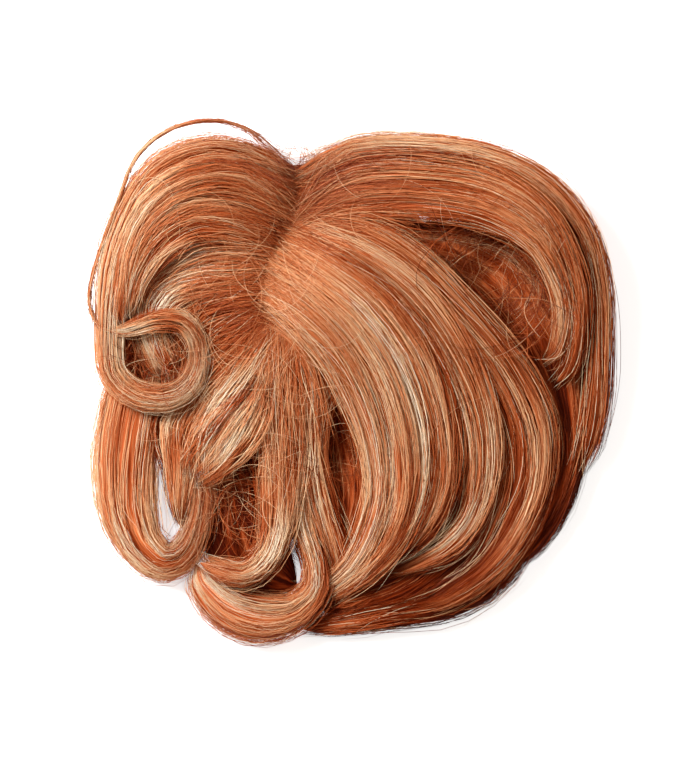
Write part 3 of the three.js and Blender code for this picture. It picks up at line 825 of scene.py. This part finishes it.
def flyaways(x, y, spread, count, rng):
    """Arcs of circles, any way, about a place. Their height is the hair's under them or the average
    along the arc, whichever is more, plus a small lift. Arcs that leave the hair are dropped."""
    column, points = (count, 1), LOOSE_PIECES + 1
    bend = MM * rng.uniform(*FLY_BEND, column) * rng.choice([-1, 1], column)
    facing = rng.uniform(0, 2 * np.pi, column)
    angle = facing + MM * rng.uniform(*FLY_LENGTH, column) / bend * half_way
    along_x = MM * (x + rng.normal(0, spread, column)) + bend * (np.cos(angle) - np.cos(facing))
    along_y = MM * (y + rng.normal(0, spread, column)) + bend * (np.sin(angle) - np.sin(facing))
    under = height_field[cell_of(np.stack([along_x, along_y], axis=-1))]
    wide = np.pad(under, ((0, 0), (BRIDGED // 2, BRIDGED // 2)), mode="edge")
    bridged = np.mean([wide[:, k : k + points] for k in range(BRIDGED)], axis=0)
    lift = MM * (FLY_LIFT + rng.exponential(FLY_LIFT_MORE, column))
    paths = np.stack([along_x, along_y, np.maximum(under, bridged) + lift], axis=-1)
    tone = rng.uniform(*FLY_TONE, column) + 0 * half_way
    thick = tapered(count, points, rng, FINE_HAIR)
    inside = under.min(axis=1) > 0
    return paths[inside], thick[inside], tone[inside]


print("highest hair in metres:", round(height_field.max(), 4))

# %% [markdown]
# ## The body under the strands
#
# Between the strands we look into the lock. A full body there keeps the light from passing through,
# as the mass of hair does. It is the lock's own section drawn a little smaller, ring after ring, with
# the same sub-locks and grooves, and its colour follows them. It is painted darker than its strands,
# as the shade between them.

# %% Body of one lock
BODY_SHARE, WISP_BODY = 0.88, 0.3  # size of a body as a share of the lock's section, and the wisp's
# painted shade: the body is coloured darker than its strands, so the gaps between them read as shade
BODY_PAINTED_SHADE = 0.8  # the body is darker than the strands on it
BODY_SINK = 0.8 * MM  # how far bodies lie below their strands at the parting
BODY_START, BODY_END = 0.004, 0.97  # outside these a lock is strands alone
UNDER_END, FRAYED_END = 0.99, 0.9  # where the bodies end of locks under others, and of frayed ones
ROOT_SIZE, ROOT_LENGTH = 0.3, 0.06  # a body grows from this share over this stretch
TIP, FRAYED_TIP = (0.1, 0.12), (0.03, 0.3)  # stretches over which a tip gets narrow and flat
WIDE_TIP = 9  # in millimetres, a lock that is wider than this at its tip ends frayed
STRIPS = 8  # places for locks on the map of a section
ROW_RINGS, BODY_SIDES = 5, 36  # rings of a body for each step of its table, and points of a ring


def lock_body(lock, rows, division, column, tone):
    """A closed tube of the lock's rounded section, carried along its route and drawn in to the
    parting. The tip gets narrow and flat by a square root, but a wide one stays wide. Its map place is
    a strip for each lock: round the section across the strip, and along the lock up it. Returns the
    mesh and the tone of its corners."""
    rings, sides = ROW_RINGS * (len(rows) - 1), BODY_SIDES
    frayed = rows[-1][3] > WIDE_TIP and not lies_under(lock)
    last = UNDER_END if lies_under(lock) else FRAYED_END if frayed else BODY_END
    u = np.linspace(BODY_START, last, rings)[:, None]
    middle, across, over, half = lock_frame(rows, u)
    turn = 2 * np.pi * (np.arange(sides) / sides - 0.25)
    out, shade = across_lock(division, turn - sway(division, u), u)
    root = np.minimum(1, ROOT_SIZE + (1 - ROOT_SIZE) * np.sqrt(u / ROOT_LENGTH))
    tips = FRAYED_TIP if frayed else TIP
    narrow, flat = (np.sqrt(np.clip((last - u) / tip, 0.01, 1)) for tip in tips)
    full = (WISP_BODY if lock == "wisp" else BODY_SHARE) * root * out
    aside = full * narrow * half[..., 0] * rounded(np.cos(turn))
    above = full * flat * half[..., 1] * rounded(np.sin(turn))
    grid = section_points(middle, across, over, aside, above)
    if starts_on_parting(lock, rows):
        lines = drawn_in(grid.transpose(1, 0, 2), np.tile(u.T * lock_length(rows), (sides, 1)))
        grid = lines.transpose(1, 0, 2) - [0, 0, BODY_SINK]
    grid[..., 2] = np.maximum(grid[..., 2], TABLE_GAP)
    caps = grid[[0, -1]].mean(axis=1)
    corners = np.concatenate([caps[:1], grid.reshape(-1, 3), caps[1:]])
    strip = (column + 0.05 + 0.9 * np.arange(sides) / sides) / STRIPS
    places = np.stack(np.broadcast_arrays(strip, u), axis=-1).reshape(-1, 2)
    # the body's tone, painted darker as the shade between the strands
    tones = (BODY_PAINTED_SHADE * tone_at(tone, u) + shade).ravel()
    return (corners, tube_faces(rings, sides), capped(places)), capped(tones)


# %% [markdown]
# ## Hair colours
#
# Copper hair is a mix: dark auburn, copper and a few golden strands. One ramp holds them all, from
# dark to light, and the tone on a strand's map picks its place. Besides the hair's own colour, that
# tone carries painted light and shade. Roots are a little darker. The bodies carry their lock's tone
# as an attribute, and fine streaks run along them.


# %% Nodes of a material
def new_material(name, roughness, specular):
    """A Principled material with its roughness and gloss set on the shader's own sockets."""
    material = bpy.data.materials.new(name)
    material.use_nodes = True
    shader = material.node_tree.nodes["Principled BSDF"]
    shader.inputs["Roughness"].default_value = roughness
    shader.inputs["Specular IOR Level"].default_value = specular
    return material, material.node_tree, shader


def set_input(tree, socket, value):
    """Link an input to another socket, or give it a number or a colour."""
    if isinstance(value, bpy.types.NodeSocket):
        tree.links.new(value, socket)
    else:
        socket.default_value = value


def add_node(tree, kind, **inputs):
    """A new node of a kind, with its named inputs linked or set."""
    node = tree.nodes.new(f"ShaderNode{kind}")
    for name, value in inputs.items():
        set_input(tree, node.inputs[name], value)
    return node


def math_node(tree, operation, first, second):
    """A Math node of two inputs, each a socket or a number."""
    node = tree.nodes.new("ShaderNodeMath")
    node.operation = operation
    for socket, value in zip(node.inputs, (first, second)):
        set_input(tree, socket, value)
    return node.outputs[0]


def ramp_colour(tree, factor, stops):
    """The colour of a ramp at a factor. The ramp is a list of (place, colour)."""
    node = add_node(tree, "ValToRGB", Fac=factor)
    while len(node.color_ramp.elements) < len(stops):
        node.color_ramp.elements.new(0.5)
    for element, (place, colour) in zip(node.color_ramp.elements, stops):
        element.position = place
        element.color = (*colour, 1)
    return node.outputs["Color"]


def map_place(tree):
    """The place on the piece's own map."""
    node = tree.nodes.new("ShaderNodeUVMap")
    node.uv_map = "OFBake"
    return node.outputs["UV"]


def raise_surface(tree, shader, height, strength, distance):
    """Bump: the shader's normal leans by the slope of a height."""
    bump = add_node(tree, "Bump", Strength=strength, Distance=distance, Height=height)
    tree.links.new(bump.outputs["Normal"], shader.inputs["Normal"])


# %% Materials of the hair
COPPER = [
    (0.0, (0.060, 0.004, 0.0005)),
    (0.25, (0.250, 0.030, 0.004)),
    (0.5, (0.480, 0.103, 0.029)),
    (0.62, (0.600, 0.183, 0.066)),
    (0.75, (0.710, 0.345, 0.163)),
    (0.88, (0.800, 0.565, 0.355)),
    (1.0, (0.880, 0.770, 0.600)),
]
ROOT_TO_TIP = [(0.0, (0.9, 0.86, 0.82)), (0.2, (0.97, 0.96, 0.95)), (1.0, (1.0, 1.0, 1.0))]
WARM_GLOSS = (1.0, 0.8, 0.6, 1)
STREAK_SCALE = (560, 5, 1)  # streaks across and along the map of a section
STREAK_MEAN, STREAK_SWING = 0.54, 1.6  # the noise's middle, and how much it changes the tone
STREAK_BASE = 0.8  # the share of a body's tone that the streaks start from


def strand_material():
    """Copper by the strand's tone, darkened at the root by the way along it."""
    material, tree, shader = new_material("copper_strands", roughness=0.32, specular=0.16)
    shader.inputs["Specular Tint"].default_value = WARM_GLOSS
    parts = add_node(tree, "SeparateXYZ", Vector=map_place(tree))
    mix = tree.nodes.new("ShaderNodeMix")
    mix.data_type = "RGBA"
    mix.blend_type = "MULTIPLY"
    mix.inputs["Factor"].default_value = 1.0
    tree.links.new(ramp_colour(tree, parts.outputs["X"], COPPER), mix.inputs["A"])
    tree.links.new(ramp_colour(tree, parts.outputs["Y"], ROOT_TO_TIP), mix.inputs["B"])
    tree.links.new(mix.outputs["Result"], shader.inputs["Base Color"])
    return material


def body_material():
    """The copper ramp by the lock's tone and fine streaks along it: noise stretched along the map's
    second direction, which also raises the surface."""
    material, tree, shader = new_material("combed_body", roughness=0.48, specular=0.06)
    shader.inputs["Specular Tint"].default_value = WARM_GLOSS
    stretch = add_node(tree, "Mapping", Vector=map_place(tree), Scale=STREAK_SCALE)
    noise = add_node(tree, "TexNoise", Vector=stretch.outputs["Vector"], Scale=1.0, Detail=4.0)
    streak = noise.outputs["Fac"]
    tone = tree.nodes.new("ShaderNodeAttribute")
    tone.attribute_name = "tone"
    base = math_node(tree, "MULTIPLY", tone.outputs["Fac"], STREAK_BASE)
    swing = math_node(tree, "MULTIPLY", math_node(tree, "SUBTRACT", streak, STREAK_MEAN), STREAK_SWING)
    colour = ramp_colour(tree, math_node(tree, "ADD", base, swing), COPPER)
    tree.links.new(colour, shader.inputs["Base Color"])
    raise_surface(tree, shader, streak, strength=0.5, distance=0.3 * MM)
    return material


copper_strands, combed_body = strand_material(), body_material()
print("materials:", copper_strands.name, combed_body.name)

# %% [markdown]
# ## The five sections of hair
#
# Each section is one body and one set of strands. Wide locks get more strands than narrow ones, and
# the hair that lies under others gets fewer, and a darker tone as painted shade. The tones of the
# other locks carry painted light and shade too: those turned to the light are lighter, and those
# turned away darker.

# %% Build the sections
STRANDS_PER_MM = 9  # of a lock's width and thickness together
UNDER_STRANDS = 0.6  # locks under others have this share of them
# The tones mix the hair's own colour with painted light and shade: locks and tips turned to the light are
# coloured lighter, and locks in shade or under others darker.
TONES = {  # of a lock from its root to its tip
    "left_wing": {
        "wisp": (0.66, 0.78), "outer": (0.62, 0.7, 0.74, 0.78, 0.76), "middle": (0.52, 0.6),
        "inner": (0.42, 0.6, 0.68), "arch": (0.4, 0.74, 0.78, 0.68), "under": (0.1, 0.3),
    },
    "right_fall": {
        "inner": (0.62, 0.67, 0.6), "second": (0.6, 0.64, 0.5), "third": (0.6, 0.64, 0.44),
        "fourth": (0.5, 0.5, 0.34), "outer": (0.44, 0.42, 0.24), "rim": (0.16, 0.34), "under": (0.04, 0.1),
    },
    "right_roll": {
        "roof": (0.44, 0.52, 0.6), "middle": (0.5, 0.56, 0.54), "crest": (0.54, 0.6, 0.34, 0.12),
        "under": (0.56, 0.56, 0.2, 0.06, 0.06),
    },
    "back_curls": {
        "hook": (0.5, 0.7, 0.6), "diagonal": (0.42, 0.7, 0.7, 0.5), "curtain": (0.44, 0.52),
        "ring": (0.5, 0.7, 0.9), "under_left": (0.02, 0.06), "under_right": (0.3, 0.52),
    },
    "left_curls": {"temple": (0.28, 0.54), "inner": (0.3, 0.58, 0.56), "loop": (0.7, 0.76, 0.68)},
}
# painted shade: the sides of each section's locks are coloured darker towards the tip, where the locks
# part and shade falls between them
PAINTED_TIP_SIDE_SHADE = {  # how much darker a lock's sides are than its top, at the tip
    "left_wing": 0.22, "right_fall": 0.6, "right_roll": 0.35, "back_curls": 0.25, "left_curls": 0.2,
}
rng = np.random.default_rng(7)
dressed = []


def dress(piece, material):
    """Give a piece its material and its body, and print its number of triangles."""
    piece.data.materials.append(material)
    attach(piece, "root")
    dressed.append(piece)
    print(piece.name, len(piece.data.polygons))


for section, locks in LOCKS.items():
    bodies, combed, tones = [], [], []
    for column, (lock, rows) in enumerate(locks.items()):
        share = UNDER_STRANDS if lies_under(lock) else 1.0
        count = int(STRANDS_PER_MM * girth_of(rows) * share)
        tone, division = TONES[section][lock], divide(rows, PAINTED_TIP_SIDE_SHADE[section], rng)
        solid, shades = lock_body(lock, rows, division, column, tone)
        bodies.append(solid)
        tones.append(shades)
        combed.append(strand_tubes(*comb(lock, rows, division, count, rng, tone)))
    body = mesh_piece(f"{section}_body", *joined(bodies), np.concatenate(tones))
    strands = mesh_piece(f"{section}_strands", *joined(combed))
    dress(body, combed_body)
    dress(strands, copper_strands)
    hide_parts(section)
for name, (strands, drawn, longest, guides) in SHEETS.items():
    top = strand_tubes(*sheet(guides, strands * (len(guides) - 1), drawn, longest, rng))
    dress(mesh_piece(f"{name}_sheet", *top), copper_strands)

# %% [markdown]
# ## Short hair over the dome
#
# Along the parting and between the locks we see the short hair that covers the net. It lies close to
# the dome and runs away from the parting. A smooth dome would look like a cap there, so it gets the
# streaks of the bodies and, near the parting, short strands of its own.

# %% Coat of the dome
COAT_THICK = 0.8 * MM
COAT_TONE = 0.35
COAT_RINGS, COAT_SIDES = 26, 96  # rings of the shell, half of them outside, and points of a ring
COAT_STRANDS, COAT_PIECES = 700, 8  # short strands, and straight pieces of each
COAT_STRAND_TONE = (0.56, 0.13)  # mean and spread
COAT_REACH = (10, 26)  # in millimetres, length of a short strand
COAT_SCATTER = 1.2 * MM  # of its root
COAT_LEAN = 0.5  # how far it leans along the parting
COAT_LIFT = (-0.8, 1.2)  # in millimetres, how much higher or lower it lies


def dome_coat():
    """The dome of the short hair as a closed shell: a round profile of a few rings outside and back
    under it a little lower. Its map place runs round the dome and from its top to its rim."""
    half, sides = COAT_RINGS // 2, COAT_SIDES
    way = np.concatenate([np.linspace(0.03, 1, half), np.linspace(0.985, 0.03, half)])[:, None]
    drop = np.repeat([0, COAT_THICK], half)[:, None]
    turn = -2 * np.pi * np.arange(sides) / sides
    aside = DOME_RADIUS * way * np.cos(turn)
    ahead = DOME_RADIUS * way * np.sin(turn)
    height = np.maximum(DOME_RISE * (1 - way**2) - drop, 0.05 * MM) + 0 * aside
    grid = np.stack([DOME_MIDDLE[0] + aside, DOME_MIDDLE[1] + DOME_STRETCH * ahead, height], axis=-1)
    caps = np.array([[*DOME_MIDDLE, DOME_RISE], [*DOME_MIDDLE, DOME_RISE - COAT_THICK]])
    corners = np.concatenate([caps[:1], grid.reshape(-1, 3), caps[1:]])
    strip, along = 0.5 + 0.49 * np.cos(turn / 2), np.linspace(0, 1, COAT_RINGS)[:, None]
    places = np.stack(np.broadcast_arrays(strip, along), axis=-1).reshape(-1, 2)
    return corners, tube_faces(COAT_RINGS, sides), capped(places)


def coat_strands(count, rng):
    """Short paths over the dome: from a place near the parting out to one side, with the height of
    the dome under them and, near the parting, of the roots."""
    way = np.linspace(0, 1, COAT_PIECES + 1)
    index = rng.integers(2, PARTING_STEPS - 2, count)
    onward = unit(parting_line[index + 2] - parting_line[index - 2])
    side = np.column_stack([-onward[:, 1], onward[:, 0]]) * rng.choice([-1, 1], (count, 1))
    lean = side + rng.normal(0, COAT_LEAN, (count, 1)) * onward
    reach = rng.uniform(*COAT_REACH, (count, 1, 1)) * MM
    root = parting_line[index] + rng.normal(0, COAT_SCATTER, (count, 2))
    flat = root[:, None] + reach * way[:, None] * lean[:, None]
    lift = ROOT_HEIGHT * (1 - 0.6 * way) + rng.uniform(*COAT_LIFT, (count, 1)) * MM
    height = dome_height(flat[..., 0], flat[..., 1]) + lift
    paths = np.concatenate([flat, height[..., None]], axis=-1)
    tone = rng.normal(*COAT_STRAND_TONE, (count, 1)) + 0 * way
    return above_table(paths), tapered(count, COAT_PIECES + 1, rng), tone


dome = dome_coat()
coat = mesh_piece("short_hair_coat", *dome, np.full(len(dome[0]), COAT_TONE))
dress(coat, combed_body)
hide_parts("under_hair")
short_strands = strand_tubes(*coat_strands(COAT_STRANDS, rng))
dress(mesh_piece("short_hair_strands", *short_strands), copper_strands)

# %% [markdown]
# Last comes the loose hair. Each hollow is a row of numbers: its middle, the heights of its floor and
# its edge, how far it reaches, which share of its hair goes round it and which is light, and how many
# hairs it has. A bridge is a thin bundle with a table like a lock's: they close the curl of the wing
# and small gaps, and one slants over the diagonal lock. A place for flyaways has its middle, its
# spread and a count.

# %% Loose hair over everything
STRAYS = 58  # on each lock
HOLLOWS = [
    (62, 42, 11, 32, 29, 0.45, 0.18, 420),
    (-3, -33, 11, 22, 14, 0.2, 0.18, 110),
    (-46, -57, 10, 18, 15, 0.2, 0.15, 120),
    (-85, 11, 19, 25, 15, 0.2, 0.3, 100),
    (-67, -43, 4, 10, 6, 0.3, 0.18, 30),
    (-67, -82, 3, 8, 5, 0.3, 0.18, 30),
    (-25, 98, 5, 10, 9, 0.1, 0.8, 90),
]
# painted shade on the sides of a bridge, growing towards its tip
PAINTED_BRIDGE_SIDE_SHADE = 0.15  # how much darker the sides of a bridge are at its tip
BRIDGES = {  # how many strands, their tones from root to tip, and the table
    "curl": (200, (0.68, 0.62), [
        [-67, 6, 22, 6, 6], [-67.5, 17, 25, 7, 6], [-74, 25.5, 27, 8, 5],
        [-86, 26.5, 28, 7, 4], [-98, 22.5, 27, 4.5, 3], [-107, 22, 25, 2.5, 2.5],
    ]),
    "roll": (170, (0.2, 0.3), [
        [4, 75, 14, 6, 5], [20, 72, 12, 11, 6], [40, 71, 11, 12, 6], [60, 68, 11, 10, 6],
        [76, 60, 11, 5, 5],
    ]),
    "brush": (250, (0.5, 0.72, 0.74, 0.5), [
        [-37, 3, 27.5, 8, 5], [-43, -11, 26, 18, 6], [-51, -21.5, 23.5, 23, 7],
        [-60, -31, 21, 22, 6], [-67, -38.5, 18, 17, 5], [-71.5, -44, 14, 10, 4],
    ]),
    "corner": (160, (0.25, 0.4), [
        [14, -93, 6, 8, 6], [0, -98, 6, 11, 7], [-11, -102, 5, 10, 7], [-20, -107, 4, 5, 5],
    ]),
}
FLYAWAYS = [
    (-40, 10, 20, 110), (-45, -40, 20, 120), (-33, 42, 13, 60), (5, 30, 28, 45), (45, 75, 26, 20),
    (-70, 60, 22, 24),
]
loose = [
    strand_tubes(*strays(rows, STRAYS, rng))
    for locks in LOCKS.values()
    for lock, rows in locks.items()
    if not lies_under(lock) and lock != "wisp"
]
loose += [strand_tubes(*arcs(*hollow, rng)) for hollow in HOLLOWS]
loose += [
    strand_tubes(*comb(name, rows, divide(rows, PAINTED_BRIDGE_SIDE_SHADE, rng), count, rng, tone))
    for name, (count, tone, rows) in BRIDGES.items()
]
loose += [strand_tubes(*flyaways(*place, rng)) for place in FLYAWAYS]
dress(mesh_piece("loose_hair", *joined(loose)), copper_strands)
print("triangles in all:", sum(len(piece.data.polygons) for piece in dressed))

# %% [markdown]
# ## Net and clips
#
# The underside is hidden in the photo, but a hairpiece is turned over before it is put on. The base is
# a fine net of crossing threads, and the clips are metal plates with brown enamel. The solids already
# have their shapes, so they stay and only get materials, which read the place on the object. Threads
# as a mesh would take more faces than a hidden side is worth, so bands in the material draw the net.

# %% Materials of the net and the clips
NET_COLOURS = [(0.45, (0.09, 0.035, 0.016)), (0.8, (0.36, 0.18, 0.095)), (1.0, (0.42, 0.22, 0.12))]
NET_TURN = (0, 0, 0.7)  # the threads run aslant
NET_SCALE = 260
ENAMEL_COLOURS = [(0.3, (0.07, 0.028, 0.013)), (0.6, (0.11, 0.046, 0.023)), (0.75, (0.2, 0.1, 0.055))]
ENAMEL_ROUGHNESS = [(0.3, (0.28, 0.28, 0.28)), (0.75, (0.5, 0.5, 0.5))]
ENAMEL_SCALE = 320


def net_material():
    """Threads that cross at right angles: bands one way and the other, of which the higher counts.
    It darkens the holes and raises the threads."""
    material, tree, shader = new_material("fine_net", roughness=0.85, specular=0.12)
    place = tree.nodes.new("ShaderNodeTexCoord").outputs["Object"]
    turn = add_node(tree, "Mapping", Vector=place, Rotation=NET_TURN)
    bands = []
    for direction in ("X", "Y"):
        band = add_node(tree, "TexWave", Vector=turn.outputs["Vector"], Scale=NET_SCALE, Distortion=0.6)
        band.bands_direction = direction
        bands.append(band.outputs["Fac"])
    thread = math_node(tree, "MAXIMUM", *bands)
    tree.links.new(ramp_colour(tree, thread, NET_COLOURS), shader.inputs["Base Color"])
    raise_surface(tree, shader, thread, strength=0.7, distance=0.25 * MM)
    return material


def enamel_material():
    """Brown enamel whose colour and gloss vary a little with noise, which also makes it uneven."""
    material, tree, shader = new_material("brown_enamel", roughness=0.35, specular=0.5)
    place = tree.nodes.new("ShaderNodeTexCoord").outputs["Object"]
    noise = add_node(tree, "TexNoise", Vector=place, Scale=ENAMEL_SCALE, Detail=6).outputs["Fac"]
    tree.links.new(ramp_colour(tree, noise, ENAMEL_COLOURS), shader.inputs["Base Color"])
    tree.links.new(ramp_colour(tree, noise, ENAMEL_ROUGHNESS), shader.inputs["Roughness"])
    raise_surface(tree, shader, noise, strength=0.2, distance=0.1 * MM)
    return material


fine_net, brown_enamel = net_material(), enamel_material()
for name in ("base_cap", "clip_front", "clip_back", "clip_left", "clip_right"):
    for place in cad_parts[name].material_slots:
        place.material = fine_net if name == "base_cap" else brown_enamel
    print(name, [place.material.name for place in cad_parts[name].material_slots])

# %% [markdown]
# ## Light, table and camera
#
# The photo is a plain product shot: white table, soft light from the upper left, camera straight
# above. A long lens far away keeps the sides of the locks from leaning outwards. Light that passes
# from hair to hair warms the shade of real hair. The render follows only a few such steps, so the
# fill and the room are a little warm here, and the key is a little cool.

# %% Table, light and camera
PIXEL = 0.44 * MM  # size of a pixel of the picture on the object
PICTURE = (683, 763)
ORIGIN_PIXEL = (350, 381)  # where the frame's origin lies in the picture
CAMERA_HEIGHT = 2.5
FOCUS_HEIGHT = 0.02
LIGHTS = {  # place, size, power and colour
    "key": ((-0.85, 0.55, 1.0), 0.45, 41, (0.92, 0.98, 1.0)),
    "fill": ((0.7, 0.2, 1.3), 1.0, 4, (1.0, 0.9, 0.8)),
}
ROOM_COLOUR, ROOM_STRENGTH = (1, 0.8, 0.63, 1), 0.36
TABLE_HALF = 3.0
TABLE_COLOUR = (0.8, 0.8, 0.8, 1)
GLOW_COLOUR, GLOW_STRENGTH = (0.93, 0.97, 1, 1), 0.7  # the table shines a little, to be quite white


def white_table():
    """A wide flat square under the object."""
    corners = [(x * TABLE_HALF, y * TABLE_HALF, 0) for x, y in ((-1, -1), (1, -1), (1, 1), (-1, 1))]
    mesh = bpy.data.meshes.new("table")
    mesh.from_pydata(corners, [], [(0, 1, 2, 3)])
    table = bpy.data.objects.new("table", mesh)
    bpy.context.collection.objects.link(table)
    material, _, shader = new_material("white_table", roughness=0.9, specular=0.1)
    shader.inputs["Base Color"].default_value = TABLE_COLOUR
    shader.inputs["Emission Color"].default_value = GLOW_COLOUR
    shader.inputs["Emission Strength"].default_value = GLOW_STRENGTH
    mesh.materials.append(material)


def area_light(name, place, size, power, colour):
    """A square soft light of a colour at a place, turned to face the origin."""
    light = bpy.data.lights.new(name, "AREA")
    light.size = size
    light.energy = power
    light.color = colour
    lamp = bpy.data.objects.new(name, light)
    lamp.location = place
    lamp.rotation_euler = (-Vector(place)).to_track_quat("-Z", "Y").to_euler()
    bpy.context.collection.objects.link(lamp)


white_table()
for name, values in LIGHTS.items():
    area_light(name, *values)
world = bpy.data.worlds.new("studio")
world.use_nodes = True
room = world.node_tree.nodes["Background"]
room.inputs["Color"].default_value = ROOM_COLOUR
room.inputs["Strength"].default_value = ROOM_STRENGTH
bpy.context.scene.world = world

lens = bpy.data.cameras.new("camera")
lens.sensor_fit = "HORIZONTAL"
lens.sensor_width = 36
lens.lens = lens.sensor_width * (CAMERA_HEIGHT - FOCUS_HEIGHT) / (PICTURE[0] * PIXEL)
lens.clip_end = 20
camera = bpy.data.objects.new("camera", lens)
camera.location = (
    (PICTURE[0] / 2 - ORIGIN_PIXEL[0]) * PIXEL,
    (ORIGIN_PIXEL[1] - PICTURE[1] / 2) * PIXEL,
    CAMERA_HEIGHT,
)
bpy.context.collection.objects.link(camera)
bpy.context.scene.camera = camera
bpy.context.scene.view_settings.view_transform = "Standard"
print("camera at", [round(v, 4) for v in camera.location], "lens", round(lens.lens, 1))
